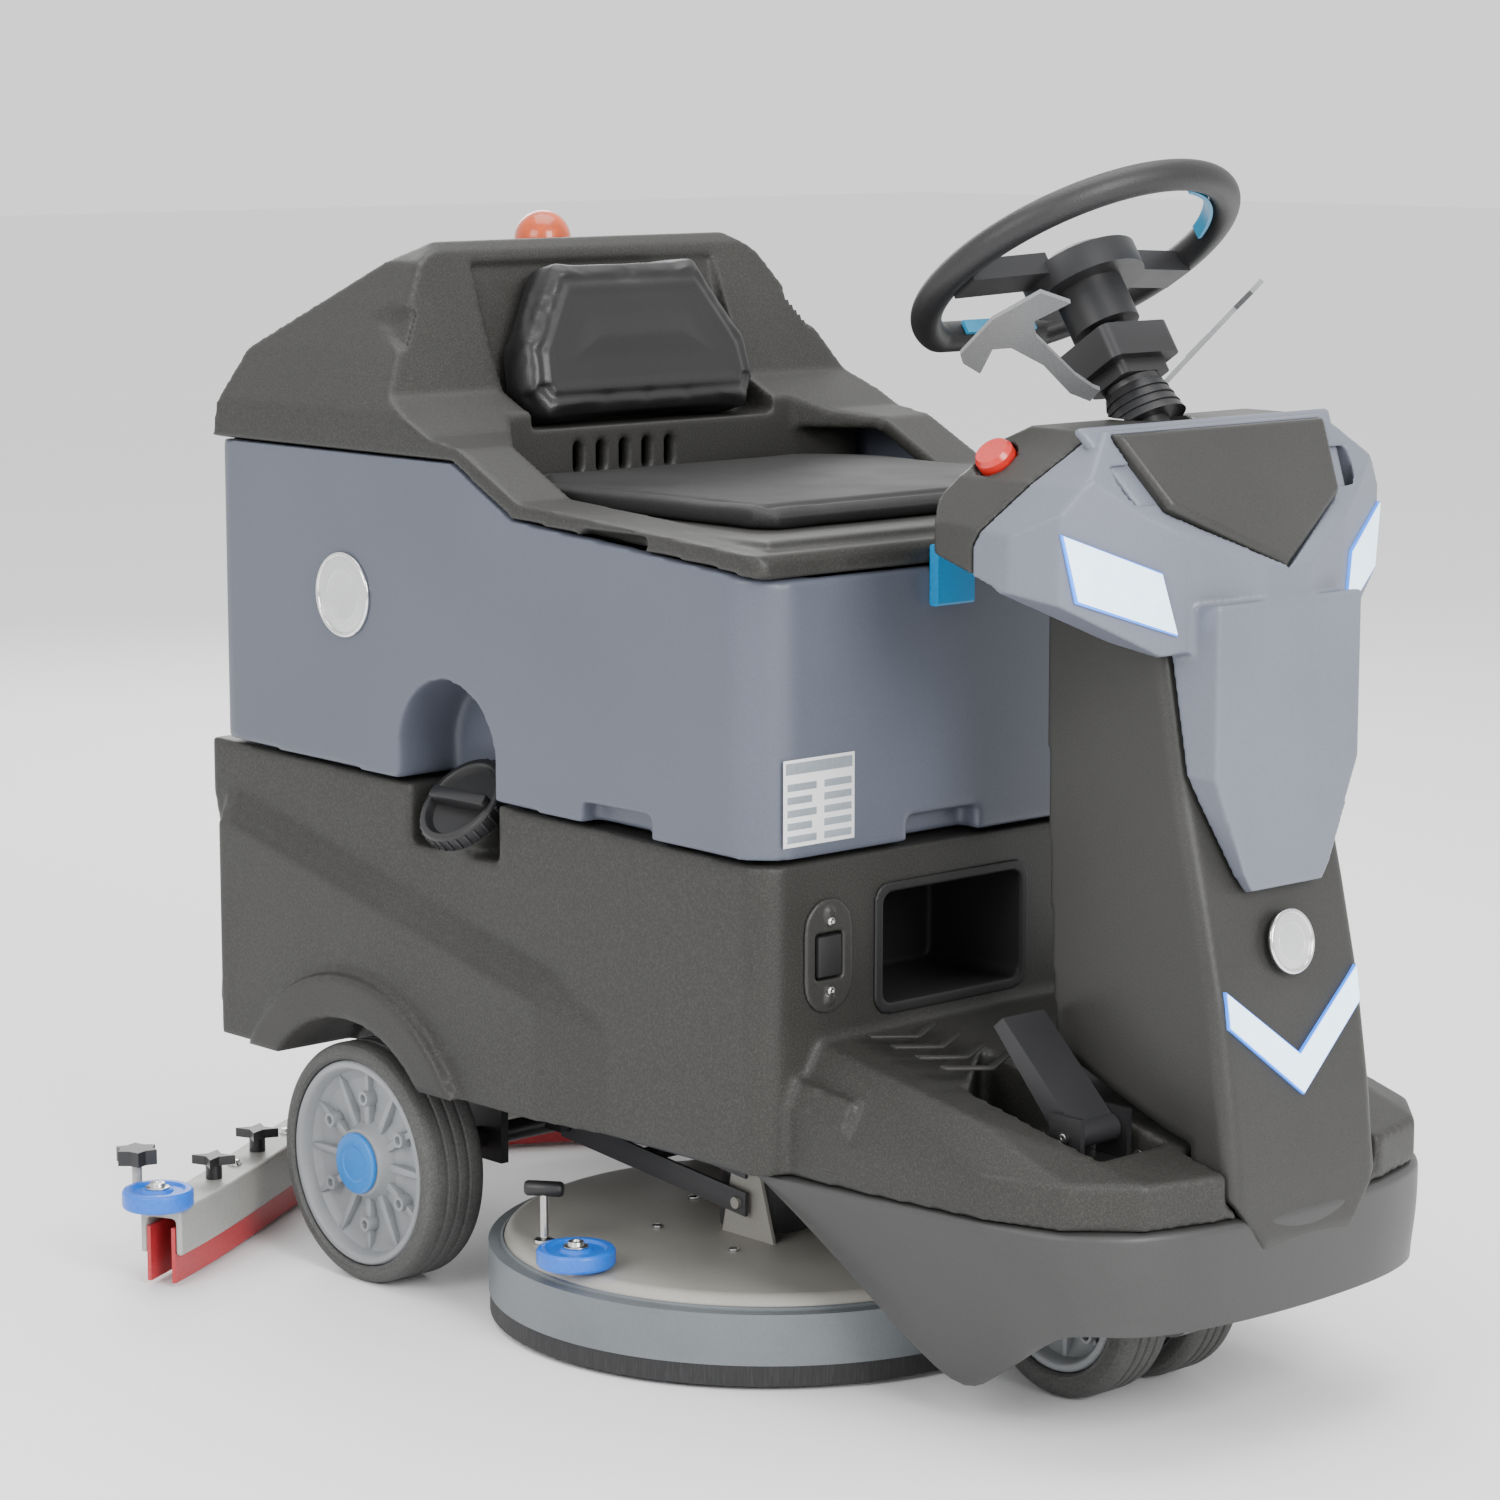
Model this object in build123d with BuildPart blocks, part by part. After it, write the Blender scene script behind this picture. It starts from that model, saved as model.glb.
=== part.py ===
from build123d import *
import math
import os

os.makedirs("parts", exist_ok=True)

# ----------------------------------------------------------------------------
# Ride-on floor scrubber.  Millimetres.  X forward, Y to the operator's left,
# Z up.  The origin is on the floor, under the middle of the bounding box.
# ----------------------------------------------------------------------------

# overall
half_length = 730
body_half_width = 326
band_half_width = 344
fender_half_width = 354

# rear wheels
rear_wheel_x = -300
rear_wheel_radius = 130
rear_wheel_width = 80
rear_rim_radius = 111
rear_axle_radius = 12

# steered drive wheels
truck_x = 520
drive_wheel_x = 478
drive_wheel_radius = 100
drive_wheel_width = 68
drive_wheel_y = 51

# lower body
tub_rear_x = -571
tub_front_x = 325
tub_rear_z = 558
tub_front_z = 534
belly_z = 232

# tank
tank_rear_x = -545
tank_front_x = 330
tank_half_width = 336
tank_gap = 5
seam_high_z = 890
seam_front_z = 806

# steering
wheel_centre = Vector(413, 0, 1099)
wheel_tilt = 33
rim_centre_radius = 155
rim_tube_radius = 15
rim_flat = 138
column_radius = 20

# deck
deck_x = 63
deck_y = -78
skirt_radius = 292
housing_radius = 276
housing_top_z = 92
brush_radius = 254
arm_offset_y = 66
lift_pivot_x = -180
deck_pivot_x = 90

# squeegee
squeegee_pivot_x = -420
squeegee_pivot_z = 178
swing_x = -640


def column_plane(distance):
    """Plane across the steering axis, a distance below the rim's centre, x to the front."""
    tilt = math.radians(wheel_tilt)
    along = Vector(-math.sin(tilt), 0, math.cos(tilt))
    across = Vector(math.cos(tilt), 0, math.sin(tilt))
    return Plane(origin=wheel_centre - along * distance, x_dir=across, z_dir=along)


def nose_outline(inset=0):
    """Corner points of the lower body's plan from the back to the nose, one side then the other."""
    side = [(-566, 312), (-540, 344), (0, 344), (250, 304), (430, 292), (565, 276), (648, 250), (700, 196),
            (722, 118)]
    near = [(x - inset * (x > 600), -(y - inset)) for x, y in side]
    far = [(x, -y) for x, y in reversed(near)]
    return near + [(half_length - inset, 0)] + far


def star_points(lobes, outer, inner):
    """Corner points of a star knob."""
    step = math.pi / lobes
    return [
        ((outer if i % 2 else inner) * math.cos(i * step), (outer if i % 2 else inner) * math.sin(i * step))
        for i in range(2 * lobes)
    ]


# ----------------------------------------------------------------------------
# Column cover (made first, because the body and bumper are notched round it)
# ----------------------------------------------------------------------------

cover_half_width = 105
cover_side = [
    (480, 782), (622, 782), (655, 614), (678, 525), (700, 430), (716, 330), (724, 260), (729, 205), (718, 176),
    (664, 176), (664, 291), (640, 297), (600, 311), (520, 343), (500, 349), (492, 430), (484, 600),
]


def cover_front_outline(margin):
    """Outline of the column cover seen from the front, its lower corners cut off."""
    half = cover_half_width + margin
    low = 52 + margin
    base = 170 - margin
    right_side = [(half, 900), (half, 252), (low, 182 - margin), (low, base)]
    return right_side + [(-x, z) for x, z in reversed(right_side)]


with BuildPart() as column_cover:
    with BuildSketch(Plane.XZ):
        with BuildLine():
            Polyline(*cover_side, close=True)
        make_face()
    extrude(amount=cover_half_width, both=True)
    front_edges = column_cover.edges().filter_by(lambda e: e.center().X > 615 and abs(e.center().Y) > 100)
    fillet(front_edges.filter_by(lambda e: e.center().Z < 775 and e.length > 40 and e.center().Z > 200), 14)
    with BuildSketch(Plane.XZ):
        with BuildLine():
            Polyline((488, 774), (615, 774), (647, 614), (671, 525), (692, 430), (708, 330), (714, 270), (716, 188),
                     (672, 188), (672, 299), (600, 320), (510, 354), (500, 430), (492, 600), close=True)
        make_face()
    extrude(amount=cover_half_width - 7, both=True, mode=Mode.SUBTRACT)
    with BuildSketch(Plane.YZ.offset(400)):
        with BuildLine():
            Polyline(*cover_front_outline(0), close=True)
        make_face()
    extrude(amount=400, mode=Mode.INTERSECT)
    with BuildSketch(Plane.XY.offset(185)):
        with Locations((694, 0)):
            Rectangle(40, 180)
    extrude(amount=-12, mode=Mode.SUBTRACT)
column_cover.part.label = "column_cover"
export_step(column_cover.part, "parts/column_cover.step")

with BuildPart() as cover_notch:
    with BuildSketch(Plane.XZ):
        with BuildLine():
            Polyline((661, 170), (661, 420), (760, 420), (760, 170), close=True)
        make_face()
    extrude(amount=cover_half_width + 2, both=True)
    with BuildSketch(Plane.YZ.offset(600)):
        with BuildLine():
            Polyline(*cover_front_outline(2), close=True)
        make_face()
    extrude(amount=200, mode=Mode.INTERSECT)

# ----------------------------------------------------------------------------
# Storage bin and charge socket in the front wall of the tub
# ----------------------------------------------------------------------------

bin_y = -74
bin_z = 436
bin_width = 200
bin_height = 118
bin_depth = 130

with BuildPart() as storage_bin:
    with BuildSketch(Plane.YZ.offset(tub_front_x - bin_depth)):
        with Locations((bin_y, bin_z)):
            RectangleRounded(bin_width, bin_height, 16)
    extrude(amount=bin_depth)
    with BuildSketch(Plane.YZ.offset(tub_front_x)):
        with Locations((bin_y, bin_z)):
            RectangleRounded(bin_width + 14, bin_height + 14, 20)
    extrude(amount=3)
    with BuildSketch(Plane.YZ.offset(tub_front_x + 3)):
        with Locations((bin_y, bin_z)):
            RectangleRounded(bin_width - 8, bin_height - 8, 13)
    extrude(amount=-bin_depth, mode=Mode.SUBTRACT)
storage_bin.part.label = "storage_bin"
export_step(storage_bin.part, "parts/storage_bin.step")

socket_y = -243
socket_z = 440

with BuildPart() as charge_socket:
    with BuildSketch(Plane.YZ.offset(tub_front_x)):
        with Locations((socket_y, socket_z)):
            SlotOverall(112, 62, rotation=90)
    extrude(amount=4)
    with BuildSketch(Plane.YZ.offset(tub_front_x - 34)):
        with Locations((socket_y, socket_z)):
            RectangleRounded(42, 52, 4)
    extrude(amount=34)
    with BuildSketch(Plane.YZ.offset(tub_front_x + 4)):
        with Locations((socket_y, socket_z)):
            RectangleRounded(36, 46, 3)
    extrude(amount=-30, mode=Mode.SUBTRACT)
    with Locations(Plane.YZ.offset(tub_front_x + 4)):
        with Locations((socket_y, socket_z + 42), (socket_y, socket_z - 42)):
            Cylinder(5, 3, align=(Align.CENTER, Align.CENTER, Align.MIN))
charge_socket.part.label = "charge_socket"
export_step(charge_socket.part, "parts/charge_socket.step")

# ----------------------------------------------------------------------------
# Lower body: solution tank tub, flared lower band, footplate and wheel arches
# ----------------------------------------------------------------------------

crease_line = [(-566, 466), (-520, 474), (-82, 376), (106, 335), (330, 300), (400, 290)]
deck_line = [(300, 367), (325, 365), (520, 339), (600, 307), (640, 293), (700, 281), (740, 277)]
nose_crease_z = 275
shoulder_width = 40

# flared band below the diagonal crease, its upper edge stepping back to the tub wall
band_layers = []
for inset, rise in ((3, 0), (8, 12), (13, 24)):
    with BuildPart() as band_layer:
        with BuildSketch(Plane.XY.offset(belly_z)):
            with BuildLine():
                Polyline(*nose_outline(inset), close=True)
            make_face()
        extrude(amount=300)
        with BuildSketch(Plane.XZ):
            with BuildLine():
                Polyline(*[(x, z + rise) for x, z in crease_line], (400, belly_z), (-566, belly_z), close=True)
            make_face()
        extrude(amount=400, both=True, mode=Mode.INTERSECT)
    band_layers.append(band_layer.part)


def deck_height(x):
    """Height of the footplate's top at a distance forward."""
    for (x0, z0), (x1, z1) in zip(deck_line, deck_line[1:]):
        if x <= x1:
            return z0 + (z1 - z0) * (x - x0) / (x1 - x0)
    return deck_line[-1][1]


with BuildPart() as nose_block:
    with BuildSketch(Plane.XY.offset(belly_z)):
        with BuildLine():
            Polyline(*nose_outline(3), close=True)
        make_face()
    extrude(amount=150)
    with BuildSketch(Plane.XZ):
        with BuildLine():
            Polyline(*deck_line, (740, belly_z), (300, belly_z), close=True)
        make_face()
    extrude(amount=400, both=True, mode=Mode.INTERSECT)
    # shoulders that slope from the crease up to the footplate's flat top
    for (x0, y0), (x1, y1) in zip(nose_outline(3), nose_outline(3)[1:]):
        if (x0 + x1) / 2 > 300:
            run = Vector(x1 - x0, y1 - y0, 0).normalized()
            inward = Vector(-run.Y, run.X, 0)
            middle = Vector((x0 + x1) / 2, (y0 + y1) / 2, nose_crease_z)
            inner = middle + inward * shoulder_width
            climb = Vector(inner.X, inner.Y, deck_height(inner.X) - 1) - middle
            split(bisect_by=Plane(origin=middle, x_dir=run, z_dir=run.cross(climb)), keep=Keep.BOTTOM)

fill_x = -145
cap_plane = Plane(origin=(fill_x, -302, 528), x_dir=(1, 0, 0), z_dir=(0, -0.72, 0.69))

with BuildPart() as lower_body:
    with BuildSketch(Plane.XZ):
        with BuildLine():
            Polyline((tub_rear_x, tub_rear_z), (tub_rear_x, 500), (-553, 433), (-566, 262), (-530, belly_z),
                     (tub_front_x, belly_z), (tub_front_x, tub_front_z), close=True)
        make_face()
    extrude(amount=body_half_width, both=True)
    tall_edges = lower_body.edges().filter_by(Axis.Z)
    fillet(tall_edges.filter_by(lambda e: e.center().X > 300), 30)
    for band_part in band_layers:
        add(band_part)
    add(nose_block.part)
    # flared arch rings
    with BuildSketch(Plane.XZ.offset(-fender_half_width)):
        with Locations((rear_wheel_x, rear_wheel_radius)):
            Circle(205)
    extrude(amount=2 * fender_half_width)
    with BuildSketch(Plane.XZ):
        with Locations((rear_wheel_x, 0)):
            Rectangle(600, 2 * belly_z)
    extrude(amount=400, both=True, mode=Mode.SUBTRACT)
    # wheel wells
    with BuildSketch(Plane.XZ.offset(-400)):
        with Locations((rear_wheel_x, rear_wheel_radius)):
            Circle(158)
    extrude(amount=400 - 252, mode=Mode.SUBTRACT)
    with BuildSketch(Plane.XZ.offset(400)):
        with Locations((rear_wheel_x, rear_wheel_radius)):
            Circle(158)
    extrude(amount=-(400 - 252), mode=Mode.SUBTRACT)
    # battery well, open upwards
    with BuildSketch(Plane.XY.offset(330)):
        with Locations((-150, 0)):
            RectangleRounded(630, 440, 30)
    extrude(amount=300, mode=Mode.SUBTRACT)
    # hollow under the footplate, open below, for the drive truck
    with BuildSketch(Plane.XY.offset(belly_z)):
        with Locations((490, 0)):
            RectangleRounded(300, 400, 40)
    extrude(amount=24, mode=Mode.SUBTRACT)
    # pedal well beside the column
    with BuildSketch(Plane.XY.offset(266)):
        with BuildLine():
            Polyline((400, -106), (470, -196), (640, -196), (640, -106), close=True)
        make_face()
    extrude(amount=120, mode=Mode.SUBTRACT)
    # bin, socket and column notches
    with BuildSketch(Plane.YZ.offset(tub_front_x - bin_depth)):
        with Locations((bin_y, bin_z)):
            RectangleRounded(bin_width + 0.4, bin_height + 0.4, 16)
    extrude(amount=bin_depth + 1, mode=Mode.SUBTRACT)
    with BuildSketch(Plane.YZ.offset(tub_front_x - 34)):
        with Locations((socket_y, socket_z)):
            RectangleRounded(42.4, 52.4, 4)
    extrude(amount=36, mode=Mode.SUBTRACT)
    add(cover_notch.part, mode=Mode.SUBTRACT)
    # scoop round the fill port, with the port's neck standing in it
    with BuildSketch(Plane.XZ.offset(400)):
        with BuildLine():
            Polyline((fill_x - 72, 700), (fill_x - 72, 486), (fill_x + 72, 486), (fill_x + 72, 700), close=True)
        make_face()
    extrude(amount=-(400 - 262), mode=Mode.SUBTRACT)
    with BuildSketch(cap_plane.offset(-0.5)):
        Circle(46)
    extrude(amount=-52)
lower_body.part.label = "lower_body"
export_step(lower_body.part, "parts/lower_body.step")

# ----------------------------------------------------------------------------
# Front bumper skirt with its two side deflectors
# ----------------------------------------------------------------------------

bumper_top_z = 229

with BuildPart() as front_bumper:
    with BuildSketch(Plane.XY.offset(132)):
        with BuildLine():
            Polyline(*nose_outline(), close=True)
        make_face()
        with BuildLine():
            Polyline(*[(x - 10 * (x > 600), y * 0.965) for x, y in nose_outline()], close=True)
        make_face(mode=Mode.SUBTRACT)
    extrude(amount=bumper_top_z - 132)
    with BuildSketch(Plane.XY.offset(100)):
        with Locations((-220, 0)):
            Rectangle(1000, 800)
    extrude(amount=200, mode=Mode.SUBTRACT)
    # the side walls end where the deflectors take over
    with BuildSketch(Plane.XZ):
        with BuildLine():
            Polyline((200, 221), (560, 221), (610, 131), (200, 131), close=True)
        make_face()
    extrude(amount=400, both=True, mode=Mode.SUBTRACT)
    # deflectors: flat plates that lean inwards to a point ahead of the deck
    for side in (-1, 1):
        leaning = Plane(origin=(290, side * 297, bumper_top_z), x_dir=(350, -side * 46, 0),
                        z_dir=(0.122, side * 0.927, -0.395))
        with BuildSketch(leaning):
            with BuildLine():
                Polyline((-5, 0), (350, 0), (350, side * 100), (190, side * 222), (168, side * 222), close=True)
            make_face()
        extrude(amount=-8)
    add(cover_notch.part, mode=Mode.SUBTRACT)
    with BuildSketch(Plane.XY.offset(bumper_top_z)):
        Rectangle(2000, 1000)
    extrude(amount=50, mode=Mode.SUBTRACT)
front_bumper.part.label = "front_bumper"
export_step(front_bumper.part, "parts/front_bumper.step")

# ----------------------------------------------------------------------------
# Recovery tank, tilting back about its lower rear edge
# ----------------------------------------------------------------------------

with BuildPart() as recovery_tank:
    with BuildSketch(Plane.XZ):
        with BuildLine():
            Polyline((tank_rear_x, tub_rear_z + tank_gap), (tank_rear_x, seam_high_z - 2), (-131, seam_high_z - 2),
                     (-37, 838), (269, 814), (tank_front_x, seam_front_z), (tank_front_x, tub_front_z + tank_gap),
                     close=True)
        make_face()
    extrude(amount=tank_half_width, both=True)
    tall_edges = recovery_tank.edges().filter_by(Axis.Z)
    fillet(tall_edges.filter_by(lambda e: e.center().X > 300), 52)
    rear_edges = recovery_tank.edges().filter_by(Axis.Z)
    fillet(rear_edges.filter_by(lambda e: e.center().X < -500), 34)
    # recovery chamber, open to the seat housing above, with a block left for the fill cap pocket
    with BuildSketch(Plane.XY.offset(690)):
        with BuildLine():
            Polyline((-530, -318), (260, -318), (316, -262), (316, 262), (260, 318), (-530, 318), close=True)
        make_face()
    extrude(amount=400, mode=Mode.SUBTRACT)
    with BuildSketch(Plane.XY.offset(576)):
        with BuildLine():
            Polyline((-530, -318), (-250, -318), (-250, -240), (-40, -240), (-40, -318), (260, -318), (316, -262),
                     (316, 262), (260, 318), (-530, 318), close=True)
        make_face()
    extrude(amount=400, mode=Mode.SUBTRACT)
    # arched pocket over the fill cap
    with BuildSketch(Plane.XZ.offset(400)):
        with Locations((fill_x, 585)):
            Ellipse(80, 80)
        with Locations((fill_x, 535)):
            Rectangle(160, 100)
    extrude(amount=-(400 - 256), mode=Mode.SUBTRACT)
    # hand recesses in the lower edge
    with BuildSketch(Plane.XZ.offset(400)):
        with Locations((122, 550)):
            Rectangle(104, 36)
    extrude(amount=-(400 - 312), mode=Mode.SUBTRACT)
    with BuildSketch(Plane.YZ.offset(400)):
        with Locations((-91, 546)):
            Rectangle(96, 36)
    extrude(amount=-(400 - 306), mode=Mode.SUBTRACT)
recovery_tank.part.label = "recovery_tank"
export_step(recovery_tank.part, "parts/recovery_tank.step")

latch_y = -88
latch_hinge_z = 768

with BuildPart() as tank_latch:
    with BuildSketch(Plane.XY.offset(latch_hinge_z)):
        with Locations((tank_front_x + 7, latch_y)):
            Rectangle(12, 50)
    extrude(amount=60)
    fillet(tank_latch.edges().filter_by(Axis.Y), 3)
tank_latch.part.label = "tank_latch"
export_step(tank_latch.part, "parts/tank_latch.step")

# ----------------------------------------------------------------------------
# Seat housing: hump, arms, seat well and vents; it closes the tank
# ----------------------------------------------------------------------------

roof_front = (-322, 1104)
roof_rear = (-524, 985)
well_floor_z = 842
beacon_x = -388
beacon_z = 1088
beacon_radius = 31

with BuildPart() as seat_housing:
    with BuildSketch(Plane.XZ):
        with BuildLine():
            Polyline((tank_rear_x, seam_high_z), roof_rear, roof_front, (-305, 1092), (-246, 948), (-170, 912),
                     (-118, 903), (-28, 856), (tank_front_x - 6, 832), (tank_front_x, 824),
                     (tank_front_x, seam_front_z + 2), (269, 816), (-36, 840), (-130, seam_high_z), close=True)
        make_face()
    extrude(amount=tank_half_width, both=True)
    tall_edges = seat_housing.edges().filter_by(Axis.Z)
    fillet(tall_edges.filter_by(lambda e: e.center().X > 300), 16)
    with BuildSketch(Plane.YZ):
        with BuildLine():
            Polyline((-336, 700), (-336, 930), (-300, 990), (-240, 1081), (-192, 1110), (192, 1110), (240, 1081),
                     (300, 990), (336, 930), (336, 700), close=True)
        make_face()
    extrude(amount=600, both=True, mode=Mode.INTERSECT)
    # tray under the seat, down inside the tank's mouth
    with Locations((44, 0, well_floor_z - 20)):
        Box(520, 600, 20, align=(Align.CENTER, Align.CENTER, Align.MIN))
    with Locations((-208, 0, well_floor_z - 20)):
        Box(16, 600, 90, align=(Align.CENTER, Align.CENTER, Align.MIN))
    # seat well between the arms
    with BuildSketch(Plane.XY.offset(well_floor_z)):
        with BuildLine():
            Polyline((-200, -200), (-120, -262), (200, -262), (270, -230), (270, 230), (200, 262), (-120, 262),
                     (-200, 200), close=True)
        make_face()
    extrude(amount=400, mode=Mode.SUBTRACT)
    # backrest recess
    with BuildSketch(Plane.XZ):
        with BuildLine():
            Polyline((-262, 908), (-306, 1078), (-200, 1120), (-100, 908), close=True)
        make_face()
    extrude(amount=172, both=True, mode=Mode.SUBTRACT)
    # pedestal of the beacon
    with Locations((beacon_x, 0, beacon_z)):
        Cylinder(beacon_radius + 3, 60, align=(Align.CENTER, Align.CENTER, Align.MAX))
    # dome over the float and vacuum motor, open below
    with BuildSketch(Plane.XY.offset(800)):
        with Locations((-418, 0)):
            RectangleRounded(190, 420, 20)
    extrude(amount=190, mode=Mode.SUBTRACT)
    # vent slots in the wall under the backrest
    with BuildSketch(Plane.YZ.offset(-225)):
        with GridLocations(32, 1, 5, 1):
            with Locations((-45, 876)):
                SlotOverall(36, 11, rotation=90)
    extrude(amount=60, mode=Mode.SUBTRACT)
    # hand slots in the lower side edges
    for side in (-1, 1):
        with Locations((121, side * 336, 831)):
            Box(100, 28, 12, mode=Mode.SUBTRACT)
seat_housing.part.label = "seat_housing"
export_step(seat_housing.part, "parts/seat_housing.step")

with BuildPart() as seat_pad:
    with BuildSketch(Plane.XY.offset(well_floor_z)):
        with BuildLine():
            Polyline((-190, -196), (-116, -250), (226, -250), (246, -234), (246, 234), (226, 250), (-116, 250),
                     (-190, 196), close=True)
        make_face()
    extrude(amount=24)
    fillet(seat_pad.faces().sort_by(Axis.Z)[-1].edges(), 5)
seat_pad.part.label = "seat_pad"
export_step(seat_pad.part, "parts/seat_pad.step")

cushion_plane = Plane(origin=(-257.5, 0, 910), x_dir=(0, 1, 0), z_dir=(170, 0, 44))

with BuildPart() as backrest_cushion:
    with BuildSketch(cushion_plane):
        with BuildLine():
            Polyline((-160, 3), (160, 3), (168, 70), (120, 172), (-120, 172), (-168, 70), close=True)
        make_face()
    extrude(amount=62)
    fillet(backrest_cushion.faces().sort_by(Axis.X)[-1].edges(), 14)
backrest_cushion.part.label = "backrest_cushion"
export_step(backrest_cushion.part, "parts/backrest_cushion.step")

with BuildPart() as beacon_dome:
    with Locations((beacon_x, 0, beacon_z)):
        Cylinder(beacon_radius, 10, align=(Align.CENTER, Align.CENTER, Align.MIN))
    with Locations((beacon_x, 0, beacon_z + 10)):
        Sphere(beacon_radius)
    split(bisect_by=Plane.XY.offset(beacon_z), keep=Keep.TOP)
beacon_dome.part.label = "beacon_dome"
export_step(beacon_dome.part, "parts/beacon_dome.step")

with BuildPart() as vacuum_motor:
    with Locations((-418, 0, 905)):
        Cylinder(68, 85, align=(Align.CENTER, Align.CENTER, Align.MIN))
        Cylinder(40, 20, align=(Align.CENTER, Align.CENTER, Align.MAX))
vacuum_motor.part.label = "vacuum_motor"
export_step(vacuum_motor.part, "parts/vacuum_motor.step")

# ----------------------------------------------------------------------------
# Console: a winged head on the column, split into housing, fascia and cover
# ----------------------------------------------------------------------------

with BuildPart() as console_head:
    with BuildSketch(Plane.XZ):
        with BuildLine():
            Polyline((440, 846), (452, 896), (478, 942), (500, 955), (596, 955), (640, 884), (690, 828), (690, 760),
                     (640, 750), (600, 762), (540, 815), (470, 836), close=True)
        make_face()
    extrude(amount=260, both=True)
    with BuildSketch(Plane.XY.offset(700)):
        with BuildLine():
            Polyline((438, -205), (462, -238), (560, -242), (607, -224), (656, -116), (688, -30), (688, 30),
                     (656, 116), (607, 224), (560, 242), (462, 238), (438, 205), close=True)
        make_face()
    extrude(amount=300, mode=Mode.INTERSECT)
    with BuildSketch(Plane.YZ.offset(400)):
        with BuildLine():
            Polyline((-150, 956), (-205, 908), (-243, 862), (-243, 812), (-110, 740), (110, 740), (243, 812),
                     (243, 862), (205, 908), (150, 956), close=True)
        make_face()
    extrude(amount=400, mode=Mode.INTERSECT)
    # seat for the column cover
    with BuildSketch(Plane.XZ):
        with BuildLine():
            Polyline((478, 700), (478, 784), (624, 784), (659, 614), (659, 500), (400, 500), close=True)
        make_face()
    extrude(amount=cover_half_width + 1, both=True, mode=Mode.SUBTRACT)

stop_plane = Plane(origin=(488, -174, 914.8), z_dir=(0, -0.657, 0.753))
cover_top = Plane(origin=(598, 0, 955), x_dir=(0, 1, 0), z_dir=(127, 0, 86))

with BuildPart() as console_housing:
    add(console_head.part)
    with BuildSketch(Plane.XZ):
        with BuildLine():
            Polyline((512, 700), (512, 850), (575, 944), (587, 962), (720, 962), (720, 700), close=True)
        make_face()
    extrude(amount=300, both=True, mode=Mode.SUBTRACT)
    with BuildSketch(Plane.XY.offset(783)):
        with Locations((545, 0)):
            RectangleRounded(150, 300, 20)
    extrude(amount=147, mode=Mode.SUBTRACT)
    # seat for the shield cover
    with BuildSketch(cover_top.offset(-12.5)):
        with BuildLine():
            Polyline((-149, -2), (-121, -84), (0, -156), (121, -84), (149, -2), close=True)
        make_face()
    extrude(amount=60, mode=Mode.SUBTRACT)
    # hole for the column in the top
    with Locations((510, 0, 940)):
        Cylinder(42, 60, mode=Mode.SUBTRACT)
    # emergency stop seat on the sloping shoulder
    with BuildSketch(stop_plane.offset(5)):
        Circle(8.1)
    extrude(amount=-45, mode=Mode.SUBTRACT)
    with BuildSketch(stop_plane.offset(3)):
        Circle(21)
    extrude(amount=40, mode=Mode.SUBTRACT)
console_housing.part.label = "console_housing"
export_step(console_housing.part, "parts/console_housing.step")

with BuildPart() as front_fascia:
    add(console_head.part)
    with BuildSketch(Plane.XZ):
        with BuildLine():
            Polyline((400, 700), (513.5, 700), (513.5, 849.4), (576.5, 943.4), (589, 962), (400, 1000), close=True)
        make_face()
    extrude(amount=300, both=True, mode=Mode.SUBTRACT)
    # tongue running down the front of the column
    with BuildSketch(Plane.XZ):
        with BuildLine():
            Polyline((626, 790), (659, 615), (681, 527), (694, 530), (692, 620), (692, 800), close=True)
        make_face()
    extrude(amount=101, both=True)
    with BuildSketch(Plane.YZ.offset(600)):
        with BuildLine():
            Polyline((-260, 1000), (-260, 740), (-112, 735), (-101, 640), (-60, 545), (-48, 527), (48, 527),
                     (60, 545), (101, 640), (112, 735), (260, 740), (260, 1000), close=True)
        make_face()
    extrude(amount=120, both=True, mode=Mode.INTERSECT)
    # hollow behind the fascia
    with BuildSketch(Plane.XY.offset(783)):
        with Locations((560, 0)):
            RectangleRounded(150, 330, 20)
    extrude(amount=142, mode=Mode.SUBTRACT)
    # seat for the shield cover
    with BuildSketch(cover_top.offset(-12.5)):
        with BuildLine():
            Polyline((-149, -2), (-121, -84), (0, -156), (121, -84), (149, -2), close=True)
        make_face()
    extrude(amount=60, mode=Mode.SUBTRACT)
front_fascia.part.label = "front_fascia"
export_step(front_fascia.part, "parts/front_fascia.step")

with BuildPart() as console_cover:
    with BuildSketch(cover_top):
        with BuildLine():
            Polyline((-147, -3), (-119.5, -83), (0, -154), (119.5, -83), (147, -3), close=True)
        make_face()
    extrude(amount=-12)
    with BuildSketch(cover_top):
        with BuildLine():
            Polyline((-147, -3), (-119.5, -83), (0, -154), (119.5, -83), (147, -3), close=True)
        make_face()
    extrude(amount=5, taper=40)
console_cover.part.label = "console_cover"
export_step(console_cover.part, "parts/console_cover.step")

lens_along = Vector(49, 108, 0).normalized()
lens_plane = Plane(origin=(607, -224, 0), x_dir=lens_along, z_dir=(lens_along.Y, -lens_along.X, 0))

with BuildPart() as headlight_lenses:
    with BuildSketch(lens_plane):
        with BuildLine():
            Polyline((3, 866), (100, 828), (116, 772), (18, 806), close=True)
        make_face()
    extrude(amount=4)
    mirror(about=Plane.XZ)
headlight_lenses.part.label = "headlight_lenses"
export_step(headlight_lenses.part, "parts/headlight_lenses.step")

cover_front = Plane(origin=(700, 0, 430), x_dir=(0, 1, 0), z_dir=(100, 0, 16))

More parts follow.
